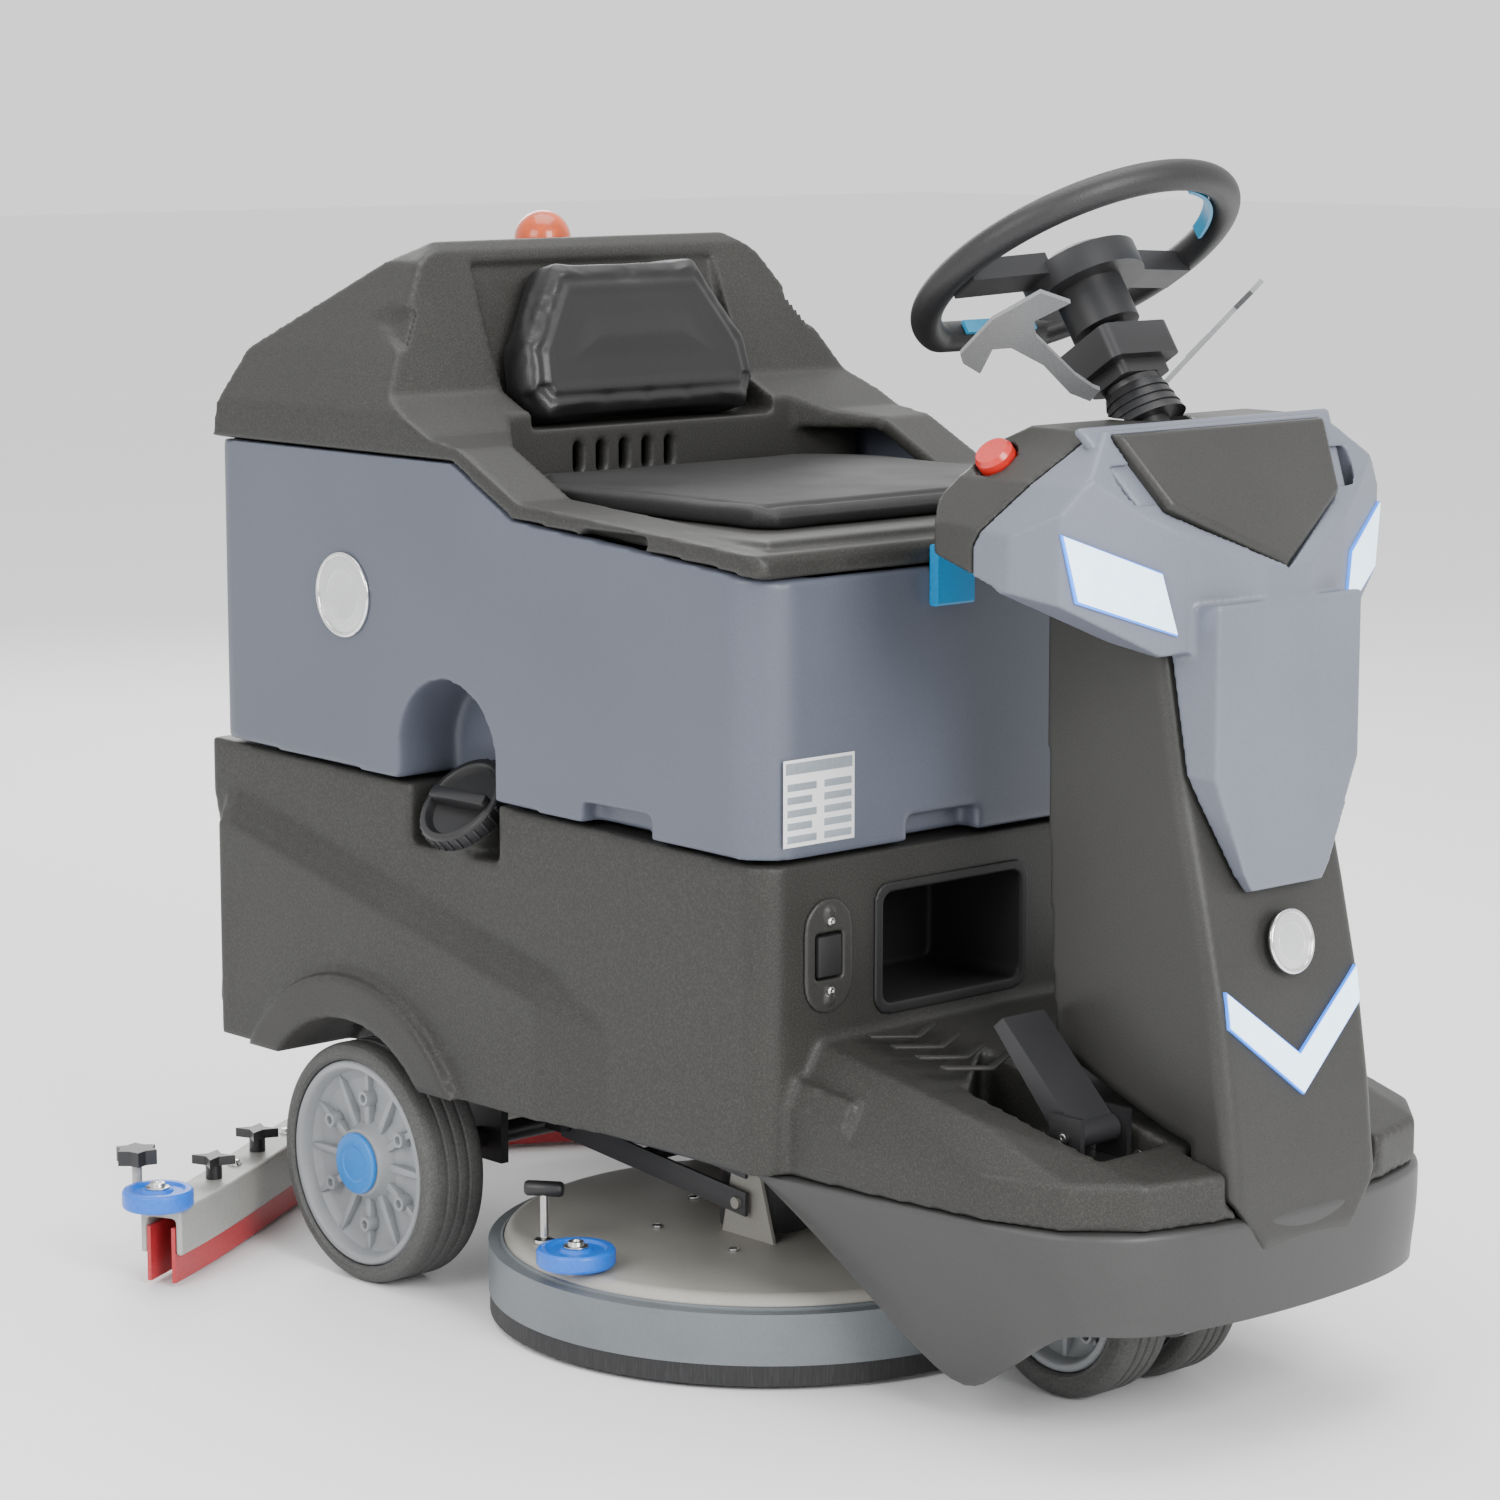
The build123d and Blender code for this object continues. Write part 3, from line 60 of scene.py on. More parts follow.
def surface(name, base, rough, grain=500.0, grain_mix=0.25, light=1.35, dark=0.7, cloud=6.0, cloud_mix=0.12,
            bump=0.15, bump_scale=700.0, bump_size=0.0005, rough_spread=0.08, wear=0.0, wear_tint=1.8,
            metallic=0.0, coat=0.0, specular=0.5, stretch=(1, 1, 1), cells=0.0):
    """A moulded or metal surface: clouded, speckled colour, fine bump, uneven gloss and paler worn edges."""
    material = bpy.data.materials.new(name)
    material.use_nodes = True
    tree = material.node_tree
    link = tree.links.new
    shader = tree.nodes["Principled BSDF"]
    shader.inputs["Metallic"].default_value = metallic
    shader.inputs["Coat Weight"].default_value = coat
    shader.inputs["Specular IOR Level"].default_value = specular
    coords = add_node(tree, "ShaderNodeTexCoord")
    mapping = add_node(tree, "ShaderNodeMapping")
    mapping.inputs["Scale"].default_value = stretch
    link(coords.outputs["Object"], mapping.inputs["Vector"])
    fine = add_node(tree, "ShaderNodeTexNoise")
    fine.inputs["Scale"].default_value = grain
    fine.inputs["Detail"].default_value = 3.0
    link(mapping.outputs["Vector"], fine.inputs["Vector"])
    broad = add_node(tree, "ShaderNodeTexNoise")
    broad.inputs["Scale"].default_value = cloud
    broad.inputs["Detail"].default_value = 4.0
    link(coords.outputs["Object"], broad.inputs["Vector"])
    ramp = add_node(tree, "ShaderNodeValToRGB")
    stops = ramp.color_ramp.elements
    stops[0].position, stops[1].position = 0.36, 0.66
    stops[0].color = [c * dark for c in base] + [1]
    stops[1].color = [min(1.0, c * light) for c in base] + [1]
    middle = stops.new(0.5)
    middle.color = list(base) + [1]
    link(fine.outputs["Fac"], ramp.inputs["Fac"])
    speckle = add_node(tree, "ShaderNodeMix", data_type="RGBA")
    speckle.inputs["Factor"].default_value = grain_mix
    speckle.inputs[6].default_value = list(base) + [1]
    link(ramp.outputs["Color"], speckle.inputs[7])
    shade = add_node(tree, "ShaderNodeMapRange")
    shade.inputs["From Min"].default_value = 0.3
    shade.inputs["From Max"].default_value = 0.7
    shade.inputs["To Min"].default_value = 1 - cloud_mix
    shade.inputs["To Max"].default_value = 1 + cloud_mix
    link(broad.outputs["Fac"], shade.inputs["Value"])
    clouded = add_node(tree, "ShaderNodeVectorMath", operation="SCALE")
    link(speckle.outputs[2], clouded.inputs[0])
    link(shade.outputs["Result"], clouded.inputs["Scale"])
    colour = clouded.outputs["Vector"]
    if wear:
        geometry = add_node(tree, "ShaderNodeNewGeometry")
        edge = add_node(tree, "ShaderNodeMapRange")
        edge.inputs["From Min"].default_value = 0.52
        edge.inputs["From Max"].default_value = 0.62
        edge.inputs["To Max"].default_value = wear
        link(geometry.outputs["Pointiness"], edge.inputs["Value"])
        worn = add_node(tree, "ShaderNodeMix", data_type="RGBA")
        worn.inputs[7].default_value = [min(1.0, c * wear_tint) for c in base] + [1]
        link(edge.outputs["Result"], worn.inputs["Factor"])
        link(colour, worn.inputs[6])
        colour = worn.outputs[2]
    link(colour, shader.inputs["Base Color"])
    gloss = add_node(tree, "ShaderNodeMapRange")
    gloss.inputs["From Min"].default_value = 0.3
    gloss.inputs["From Max"].default_value = 0.7
    gloss.inputs["To Min"].default_value = rough - rough_spread
    gloss.inputs["To Max"].default_value = rough + rough_spread
    link(broad.outputs["Fac"], gloss.inputs["Value"])
    link(gloss.outputs["Result"], shader.inputs["Roughness"])
    relief = add_node(tree, "ShaderNodeBump")
    relief.inputs["Strength"].default_value = bump
    relief.inputs["Distance"].default_value = bump_size
    if cells:
        pebble = add_node(tree, "ShaderNodeTexVoronoi", feature="SMOOTH_F1")
        pebble.inputs["Scale"].default_value = cells
        link(mapping.outputs["Vector"], pebble.inputs["Vector"])
        link(pebble.outputs["Distance"], relief.inputs["Height"])
    else:
        skin = add_node(tree, "ShaderNodeTexNoise")
        skin.inputs["Scale"].default_value = bump_scale
        skin.inputs["Detail"].default_value = 2.0
        link(mapping.outputs["Vector"], skin.inputs["Vector"])
        link(skin.outputs["Fac"], relief.inputs["Height"])
    link(relief.outputs["Normal"], shader.inputs["Normal"])
    return material


def glowing(name, colour, strength, scale=90.0):
    """A lit diffuser, a little uneven where the light pipe shows through."""
    material = surface(name, colour, 0.35, grain=scale, grain_mix=0.15, bump=0.05)
    tree = material.node_tree
    shader = tree.nodes["Principled BSDF"]
    noise = add_node(tree, "ShaderNodeTexNoise")
    noise.inputs["Scale"].default_value = scale / 3
    level = add_node(tree, "ShaderNodeMapRange")
    level.inputs["To Min"].default_value = strength * 0.85
    level.inputs["To Max"].default_value = strength * 1.1
    tree.links.new(noise.outputs["Fac"], level.inputs["Value"])
    tree.links.new(level.outputs["Result"], shader.inputs["Emission Strength"])
    shader.inputs["Emission Color"].default_value = list(colour) + [1]
    return material


BODY = surface("body_plastic", (0.025, 0.0245, 0.0225), 0.47, grain=520, grain_mix=0.5, light=1.9, dark=0.6,
               bump=0.35, bump_scale=520, bump_size=0.0006, wear=0.25, wear_tint=2.2, specular=0.32)
SMOOTH_BODY = surface("cover_plastic", (0.029, 0.0285, 0.0265), 0.4, grain=600, grain_mix=0.35, light=1.6,
                      dark=0.7, bump=0.25, bump_scale=600, bump_size=0.0005, wear=0.25, wear_tint=2.0,
                      specular=0.35)
TANK = surface("tank_plastic", (0.086, 0.096, 0.124), 0.42, grain=420, grain_mix=0.3, light=1.15, dark=0.88,
               cloud=3.5, cloud_mix=0.06, bump=0.16, bump_scale=420, bump_size=0.0005, wear=0.2,
               wear_tint=1.5, specular=0.4)
FASCIA = surface("fascia_plastic", (0.135, 0.147, 0.182), 0.38, grain=450, grain_mix=0.3, light=1.15,
                 dark=0.88, cloud_mix=0.05, bump=0.14, bump_scale=450, bump_size=0.0005, wear=0.2,
                 wear_tint=1.4)
BUMPER = surface("bumper_plastic", (0.034, 0.034, 0.0335), 0.44, grain=650, grain_mix=0.25, light=1.5,
                 dark=0.75, bump=0.2, bump_scale=650, bump_size=0.0004, wear=0.3, wear_tint=1.9)
BLACK = surface("black_plastic", (0.01, 0.01, 0.011), 0.42, grain=500, grain_mix=0.3, light=1.8, bump=0.2,
                bump_scale=900, bump_size=0.0003, wear=0.35, wear_tint=3.0)
GLOSS_BLACK = surface("gloss_black_plastic", (0.009, 0.009, 0.01), 0.16, grain=300, grain_mix=0.2,
                      bump=0.04, coat=0.4)
STEEL_BLACK = surface("painted_steel", (0.022, 0.022, 0.024), 0.38, grain=300, grain_mix=0.3, bump=0.12,
                      bump_scale=300, wear=0.5, wear_tint=4.0)
STEEL = surface("brushed_steel", (0.56, 0.56, 0.55), 0.28, grain=900, grain_mix=0.35, light=1.2, dark=0.8,
                bump=0.12, bump_scale=900, bump_size=0.0002, metallic=1.0, stretch=(1, 1, 0.15))
CASE = surface("battery_case", (0.03, 0.03, 0.036), 0.5, grain=350, wear=0.3)
CAST = surface("cast_alloy", (0.36, 0.36, 0.35), 0.48, grain=380, grain_mix=0.4, light=1.2, dark=0.75,
               bump=0.45, bump_scale=420, bump_size=0.0007, metallic=0.55, wear=0.35, wear_tint=1.6)
TYRE = surface("tyre_rubber", (0.058, 0.058, 0.056), 0.72, grain=380, grain_mix=0.45, light=1.6, dark=0.6,
               cloud=14, cloud_mix=0.2, bump=0.5, bump_scale=480, bump_size=0.0007, rough_spread=0.1,
               wear=0.35, wear_tint=1.7)
RIM = surface("rim_plastic", (0.23, 0.24, 0.25), 0.45, grain=420, grain_mix=0.2, light=1.12, dark=0.85,
              bump=0.18, bump_scale=500, wear=0.2, wear_tint=1.3)
BLUE = surface("blue_plastic", (0.006, 0.16, 0.5), 0.34, grain=350, grain_mix=0.25, light=1.25, bump=0.1,
               wear=0.25)
LATCH_BLUE = surface("latch_plastic", (0.004, 0.21, 0.47), 0.34, grain=350, grain_mix=0.25, light=1.25,
                     bump=0.1)
ROLLER_BLUE = surface("roller_plastic", (0.005, 0.13, 0.62), 0.33, grain=300, grain_mix=0.25, light=1.2,
                      bump=0.12, wear=0.3)
GRIP = surface("rim_grip", (0.011, 0.011, 0.012), 0.46, grain=500, grain_mix=0.4, light=1.7, bump=0.35,
               cells=520, bump_size=0.0006, rough_spread=0.06)
LINER = surface("rim_liner", (0.012, 0.23, 0.42), 0.36, grain=400, grain_mix=0.2, bump=0.12)
PADDLE = surface("paddle_plastic", (0.24, 0.245, 0.25), 0.3, grain=600, grain_mix=0.3, bump=0.12,
                 metallic=0.3)
SOFT_PU = surface("moulded_pu", (0.008, 0.008, 0.0085), 0.4, grain=420, grain_mix=0.3, light=1.8, bump=0.3,
                  cells=750, bump_size=0.0005, rough_spread=0.05, cloud=9)
SEAT_PU = surface("seat_mat", (0.012, 0.012, 0.0118), 0.55, grain=520, grain_mix=0.45, light=1.9, dark=0.6,
                  bump=0.4, bump_scale=560, bump_size=0.0006, specular=0.3)
BEACON = surface("beacon_lens", (0.5, 0.06, 0.0), 0.3, grain=60, grain_mix=0.35, light=1.5, dark=0.45,
                 bump=0.1, coat=0.5)
LAMP = glowing("lamp_diffuser", (0.66, 0.84, 1.0), 1.5)
HALO = glowing("lamp_rim", (0.03, 0.22, 0.9), 0.9)
STOP_RED = surface("stop_plastic", (0.55, 0.02, 0.014), 0.28, grain=300, grain_mix=0.2, bump=0.05, coat=0.3)
CREAM = surface("deck_paint", (0.33, 0.318, 0.285), 0.4, grain=330, grain_mix=0.22, light=1.12, dark=0.82,
                bump=0.2, bump_scale=380, wear=0.3, wear_tint=1.25)
SKIRT = surface("skirt_rubber", (0.13, 0.145, 0.155), 0.42, grain=300, grain_mix=0.25, light=1.15,
                dark=0.85, cloud=9, bump=0.2, bump_scale=350)
FIBRE = surface("skirt_fibre", (0.012, 0.012, 0.013), 0.6, grain=700, grain_mix=0.6, light=2.4, bump=0.6,
                bump_scale=900, bump_size=0.001, stretch=(1, 1, 0.06))
BRUSH = surface("brush_fibre", (0.012, 0.06, 0.2), 0.55, grain=700, grain_mix=0.6, light=1.8, bump=0.6,
                bump_scale=800, bump_size=0.001, stretch=(1, 1, 0.08))
SQUEEGEE = surface("squeegee_casting", (0.34, 0.34, 0.32), 0.46, grain=380, grain_mix=0.35, light=1.18,
                   dark=0.78, bump=0.35, bump_scale=420, bump_size=0.0006, metallic=0.25, wear=0.4,
                   wear_tint=1.5)
BLADE = surface("blade_rubber", (0.42, 0.028, 0.035), 0.4, grain=300, grain_mix=0.3, light=1.3, bump=0.15,
                cloud=12)
CHROME = surface("chrome_ring", (0.82, 0.82, 0.82), 0.12, grain=500, grain_mix=0.15, bump=0.03, metallic=1.0,
                 rough_spread=0.04)
BADGE = surface("badge_face", (0.62, 0.63, 0.63), 0.3, grain=700, grain_mix=0.3, light=1.1, dark=0.85,
                bump=0.05, metallic=0.4)
LABEL = surface("label_film", (0.72, 0.73, 0.72), 0.4, grain=300, grain_mix=0.15, light=1.05, dark=0.94,
                bump=0.04)
LABEL_BAND = surface("label_band", (0.24, 0.27, 0.3), 0.4, grain=300, grain_mix=0.2, bump=0.04)
# Near-black painted shade: stands for the shade inside the storage bin and in the charge socket's inlet,
# darker than the body's own grey.
INSIDE_SHADE = surface("inside_painted_shade", (0.008, 0.008, 0.008), 0.6, grain=400, grain_mix=0.3, bump=0.2)


# ------------------------------------------------------------------ meshes

def place(obj, body, material, replaces=()):
    obj.data.materials.clear()
    obj.data.materials.append(material)
    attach(obj, body)
    if replaces:
        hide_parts(*replaces)
    return obj


def bake(obj):
    """Turns an object's modifiers into its mesh."""
    graph = bpy.context.evaluated_depsgraph_get()
    mesh = bpy.data.meshes.new_from_object(obj.evaluated_get(graph))
    obj.modifiers.clear()
    old = obj.data
    obj.data = mesh
    bpy.data.meshes.remove(old)
    return obj


def made(name, verts, faces, smooth=True):
    mesh = bpy.data.meshes.new(name)
    mesh.from_pydata([tuple(v) for v in verts], [], faces)
    mesh.update()
    bm = bmesh.new()
    bm.from_mesh(mesh)
    bmesh.ops.recalc_face_normals(bm, faces=bm.faces)
    bm.to_mesh(mesh)
    bm.free()
    mesh.polygons.foreach_set("use_smooth", [smooth] * len(mesh.polygons))
    obj = bpy.data.objects.new(name, mesh)
    bpy.context.scene.collection.objects.link(obj)
    return obj


def points_of(obj):
    data = np.empty(len(obj.data.vertices) * 3)
    obj.data.vertices.foreach_get("co", data)
    return data.reshape(-1, 3)


def set_points(obj, points):
    obj.data.vertices.foreach_set("co", np.asarray(points, float).ravel())
    obj.data.update()


def softened(name, sources, voxel, rounds, shape=None):
    """One seamless skin over the named CAD nodes: remeshed, its edges rounded off, then reshaped."""
    bm = bmesh.new()
    for source in sources:
        bm.from_mesh(nodes[source].data)
    bmesh.ops.remove_doubles(bm, verts=bm.verts, dist=1e-6)
    mesh = bpy.data.meshes.new(name)
    bm.to_mesh(mesh)
    bm.free()
    obj = bpy.data.objects.new(name, mesh)
    bpy.context.scene.collection.objects.link(obj)
    skin = obj.modifiers.new("skin", "REMESH")
    skin.mode = "VOXEL"
    skin.voxel_size = voxel * MM
    ease = obj.modifiers.new("ease", "SMOOTH")
    ease.factor = 0.5
    ease.iterations = rounds
    thin_out = obj.modifiers.new("thin_out", "DECIMATE")
    thin_out.ratio = 0.4
    bake(obj)
    obj.data.polygons.foreach_set("use_smooth", [True] * len(obj.data.polygons))
    if shape:
        set_points(obj, shape(points_of(obj) / MM) * MM)
    return obj


def eased(obj, width, angle=SHARP):
    """Rounds off an object's sharp edges by so many millimetres."""
    bevel = obj.modifiers.new("bevel", "BEVEL")
    bevel.width = width * MM
    bevel.segments = 2
    bevel.limit_method = "ANGLE"
    bevel.angle_limit = angle
    bake(obj)
    obj.data.polygons.foreach_set("use_smooth", [True] * len(obj.data.polygons))
    obj.data.set_sharp_from_angle(angle=angle)
    return obj


def around(count, u, v):
    """Unit directions set evenly round a circle in the plane of u and v."""
    turns = [math.tau * i / count for i in range(count)]
    return [Vector(u) * math.cos(turn) + Vector(v) * math.sin(turn) for turn in turns]


def turned(name, profile, centre, axis, count=96, ring=False, width=0.5):
    """The profile, (radius, height) in mm, turned round the axis; a ring's profile is closed."""
    along = Vector(axis).normalized()
    side = along.orthogonal().normalized()
    other = along.cross(side)
    verts = []
    for radius, height in profile:
        for out in around(count, side, other):
            verts.append((Vector(centre) + along * height + out * radius) * MM)
    rows = len(profile)
    faces = []
    for k in range(rows if ring else rows - 1):
        low, high = k * count, (k + 1) % rows * count
        faces += [(low + i, low + (i + 1) % count, high + (i + 1) % count, high + i) for i in range(count)]
    if not ring:
        faces += [tuple(range(count)), tuple(range((rows - 1) * count, rows * count))]
    return eased(made(name, verts, faces), width, math.radians(28))


def prism(name, outline, origin, u, v, low, high, width=0.6):
    """A straight-sided piece: the outline in the plane of u and v, in mm, from low to high."""
    u, v = Vector(u).normalized(), Vector(v).normalized()
    normal = u.cross(v)
    verts = [(Vector(origin) + u * a + v * b + normal * h) * MM for h in (low, high) for a, b in outline]
    size = len(outline)
    faces = [tuple(range(size)), tuple(range(size, 2 * size))]
    faces += [(i, (i + 1) % size, size + (i + 1) % size, size + i) for i in range(size)]
    return eased(made(name, verts, faces), width)


def merged(name, pieces):
    """Several objects made into one."""
    bm = bmesh.new()
    for piece in pieces:
        data = piece.data
        bm.from_mesh(data)
        bpy.data.objects.remove(piece)
        bpy.data.meshes.remove(data)
    mesh = bpy.data.meshes.new(name)
    bm.to_mesh(mesh)
    bm.free()
    obj = bpy.data.objects.new(name, mesh)
    bpy.context.scene.collection.objects.link(obj)
    return obj


def slot_outline(length, width, count=14):
    """An upright slot with round ends."""
    radius, reach = width / 2, (length - width) / 2
    top = [(radius * math.cos(math.pi * i / count), reach + radius * math.sin(math.pi * i / count))
           for i in range(count + 1)]
    return top + [(-a, -b) for a, b in top]


def inside_depth(points, outline):
    """How far points of a plane lie inside a convex outline given anticlockwise, in its own units."""
    depth = np.full(len(points), 1e9)
    for (x0, y0), (x1, y1) in zip(outline, outline[1:] + outline[:1]):
        length = math.hypot(x1 - x0, y1 - y0)
        cross = (x1 - x0) * (points[:, 1] - y0) - (y1 - y0) * (points[:, 0] - x0)
        depth = np.minimum(depth, cross / length)
    return depth


def plumped(name, outline, origin, u, v, low, high, cell, cap):
    """A closed pad blown up by a cloth simulation, no point of it moving further than the cap."""
    pad = prism(name, outline, origin, u, v, low, high, 5)
    skin = pad.modifiers.new("skin", "REMESH")
    skin.mode = "VOXEL"
    skin.voxel_size = cell * MM
    bake(pad)
    start = points_of(pad)
    cloth = pad.modifiers.new("cloth", "CLOTH")
    cloth.settings.use_pressure = True
    cloth.settings.uniform_pressure_force = 4
    cloth.settings.effector_weights.gravity = 0
    scene = bpy.context.scene
    for number in range(1, 21):
        scene.frame_set(number)
    bake(pad)
    scene.frame_set(1)
    moved = points_of(pad) - start
    reach = np.linalg.norm(moved, axis=1, keepdims=True)
    set_points(pad, start + moved * np.minimum(1, cap * MM / np.maximum(reach, 1e-9)))
    smoother = pad.modifiers.new("ease", "SMOOTH")
    smoother.iterations = 4
    fine = pad.modifiers.new("fine", "SUBSURF")
    fine.levels = fine.render_levels = 1
    bake(pad)
    pad.data.polygons.foreach_set("use_smooth", [True] * len(pad.data.polygons))
    return pad


def step(value, low, high):
    """0 below low, 1 above high, eased between."""
    t = np.clip((value - low) / (high - low), 0, 1)
    return t * t * (3 - 2 * t)


# --------------------------------------------------- CAD nodes kept, repainted

painted = {
    STEEL_BLACK: ("chassis_frame", "steer_fork", "lift_arm_lower", "lift_arm_upper", "squeegee_arm",
                  "drive_motor", "brush_motor", "vacuum_motor"),
    BLACK: ("accelerator_pedal", "pedal_bracket", "steering_column", "column_clamp", "steering_bellows",
            "steering_boss", "blade_knobs", "height_knob_left", "height_knob_right"),
    LAMP: ("headlight_lenses", "chevron_lamp"),
    PADDLE: ("paddle_left", "paddle_right"),
    CASE: ("batteries",), CAST: ("motor_controller",), BRUSH: ("scrub_brush",), FIBRE: ("skirt_bristles",),
    STEEL: ("key_switch",), GLOSS_BLACK: ("dash_panel",), GRIP: ("steering_rim",), LINER: ("rim_inserts",),
    BLADE: ("squeegee_blades",), BEACON: ("beacon_dome",), STOP_RED: ("emergency_stop",),
    LATCH_BLUE: ("tank_latch",), CREAM: ("deck_housing",), SKIRT: ("deck_skirt",),
}
for finish, node_names in painted.items():
    for node_name in node_names:
        data = nodes[node_name].data
        data.materials.clear()
        data.materials.append(finish)
        data.polygons.foreach_set("material_index", [0] * len(data.polygons))

# Rounded edges on the kept parts that have sharp ones.
for node_name in ("steering_boss", "column_clamp", "paddle_left", "paddle_right", "accelerator_pedal",
                  "pedal_bracket", "blade_knobs", "height_knob_left", "height_knob_right", "key_switch",
                  "tank_latch", "squeegee_arm", "lift_arm_lower", "lift_arm_upper"):
    edge = nodes[node_name].modifiers.new("edge", "BEVEL")
    edge.width = 1.2 * MM
    edge.segments = 2
    edge.limit_method = "ANGLE"
    edge.angle_limit = SHARP


# --------------------------------------------------------------- body shells

# Sunk triangle on the flank of the seat housing's hump, in the x-z plane.
TRIANGLE = [(-335, 1026), (-226, 1059), (-175, 1043), (-177, 948)][::-1]


def hump_flanks(points):
    """Sinks the triangle into both flanks of the hump."""
    width, height = np.abs(points[:, 1]), points[:, 2]
    upper = (width - 300) * 0.835 + (height - 990) * 0.55
    lower = (width - 336) * 0.857 + (height - 930) * 0.514
    on_flank = (np.abs(upper) < 7) | (np.abs(lower) < 7)
    sink = 8 * step(inside_depth(points[:, [0, 2]], TRIANGLE), 0, 8) * on_flank
    points[:, 1] -= np.sign(points[:, 1]) * 0.84 * sink
    points[:, 2] -= 0.54 * sink
    return points


# The stop button: its middle, and the direction in which it is pushed.
STOP_AT, STOP_PUSH = np.array([488, -174, 914.8]), np.array([0, 0.657, -0.753])


def stop_well(points):
    """Deepens the console round the stop button, so that the button has room to be pushed."""
    reach = points - STOP_AT
    along = reach @ STOP_PUSH
    radius = np.linalg.norm(reach - along[:, None] * STOP_PUSH, axis=1)
    near = (1 - step(radius, 23, 28)) * (np.abs(along) < 14)
    return points + (near * 6.5)[:, None] * STOP_PUSH


# piece, CAD node, voxel in mm, smoothing rounds, body, finish, material slot, reshaping
shells = (
    ("tank_shell", "recovery_tank", 4, 7, "tank", TANK, "tank_grey", None),
    ("body_shell", "lower_body", 4, 5, "frame", BODY, "body_grey", None),
    ("seat_shell", "seat_housing", 4, 6, "seat", BODY, "body_grey", hump_flanks),
    ("console_shell", "console_housing", 2.5, 5, "frame", SMOOTH_BODY, "black_plastic", stop_well),
    ("fascia_shell", "front_fascia", 2.5, 4, "frame", FASCIA, "tank_grey", None),
    ("shield_shell", "console_cover", 2, 3, "frame", SMOOTH_BODY, "body_grey", None),
    ("column_shell", "column_cover", 3, 4, "frame", SMOOTH_BODY, "body_grey", None),
    # the storage bin's inside is painted shade, near-black instead of its own body grey
    ("bin_liner", "storage_bin", 2.5, 2, "frame", INSIDE_SHADE, "body_grey", None),
    ("socket_plate", "charge_socket", 2, 2, "frame", SMOOTH_BODY, "body_grey", None),
    ("squeegee_casting", "squeegee_body", 3, 3, "squeegee", SQUEEGEE, "alloy_cast", None),
)
for piece, node, voxel, rounds, body, finish, slot, shape in shells:
    place(softened(piece, [node], voxel, rounds, shape), body, finish, [node])


# ------------------------------------------------------ bumper and deflectors

def bumper_skirt():
    """The bumper: a band under the body's edge that drops to a deflector point on each side of the truck."""
    top = [(290, 301), (340, 299), (400, 295), (472, 288), (520, 283), (565, 276), (610, 263), (648, 250),
           (680, 222), (700, 196), (713, 158), (722, 118), (728, 60)]
    foot = [(292, 298, 222), (336, 275, 178), (396, 244, 110), (472, 205, 25), (520, 210, 56),
            (561, 215, 83), (606, 232, 112), (644, 243, 134), (676, 218, 133), (695, 193, 132),
            (708, 156, 132), (717, 117, 132), (723, 59, 132)]
    upper = [(x, -y, 229) for x, y in top] + [(730, 0, 229)] + [(x, y, 229) for x, y in top[::-1]]
    lower = [(x, -y, z) for x, y, z in foot] + [(725, 0, 132)] + [(x, y, z) for x, y, z in foot[::-1]]
    rows = 10
    # a lip turned in under the body's edge, then the band
    verts = [((x - (12 if x > 700 else 4)) * MM, (y - 14 * np.sign(y)) * MM, 0.2315) for x, y, z in upper]
    for k in range(rows + 1):
        share = k / rows
        swell = 5 * math.sin(math.pi * min(1, share * 1.15))
        for (x0, y0, z0), (x1, y1, z1) in zip(upper, lower):
            y = y0 + (y1 - y0) * share
            verts.append(((x0 + (x1 - x0) * share) * MM,
                          (y + swell * 0.6 * np.sign(y)) * MM, (z0 + (z1 - z0) * share) * MM))
    wide = len(upper)
    faces = [(k * wide + i, k * wide + i + 1, (k + 1) * wide + i + 1, (k + 1) * wide + i)
             for k in range(rows + 1) for i in range(wide - 1)]
    band = made("bumper_shell", verts, faces)
    if band.data.polygons[len(faces) // 2].normal.x < 0:
        band.data.flip_normals()
    for kind, settings in (("SUBSURF", {"levels": 2, "render_levels": 2}),
                           ("SOLIDIFY", {"thickness": 5 * MM, "offset": -1.0, "use_even_offset": True}),
                           ("BEVEL", {"width": 1.2 * MM, "segments": 2})):
        modifier = band.modifiers.new(kind.lower(), kind)
        for key, value in settings.items():
            setattr(modifier, key, value)
    bake(band)
    band.data.polygons.foreach_set("use_smooth", [True] * len(band.data.polygons))
    band.data.set_sharp_from_angle(angle=SHARP)
    return band


place(bumper_skirt(), "frame", BUMPER, ["front_bumper"])


# --------------------------------------------------------- lamps and the shield

def swollen(name, node, grow, back, toward):
    """A copy of a CAD node grown by so many mm along its normals and drawn back from where it faces."""
    bm = bmesh.new()
    bm.from_mesh(nodes[node].data)
    bmesh.ops.remove_doubles(bm, verts=bm.verts, dist=1e-5)
    bm.normal_update()
    shift = Vector(toward).normalized() * back * MM
    for vert, normal in [(vert, vert.normal.copy()) for vert in bm.verts]:
        vert.co += normal * grow * MM - shift
    mesh = bpy.data.meshes.new(name)
    bm.to_mesh(mesh)
    bm.free()
    obj = bpy.data.objects.new(name, mesh)
    bpy.context.scene.collection.objects.link(obj)
    return obj


place(swollen("headlight_rims", "headlight_lenses", 2.6, 2.8, (1, 0, 0.12)), "frame", HALO)
place(swollen("chevron_rim", "chevron_lamp", 2.4, 2.6, (1, 0, 0.06)), "frame", HALO)

shield = points_of(nodes["console_cover"]) / MM
middle = (shield.min(axis=0) + shield.max(axis=0)) / 2
thin = np.linalg.svd(shield - shield.mean(axis=0), full_matrices=False)[2][2]
thin = thin if thin[0] + thin[2] > 0 else -thin


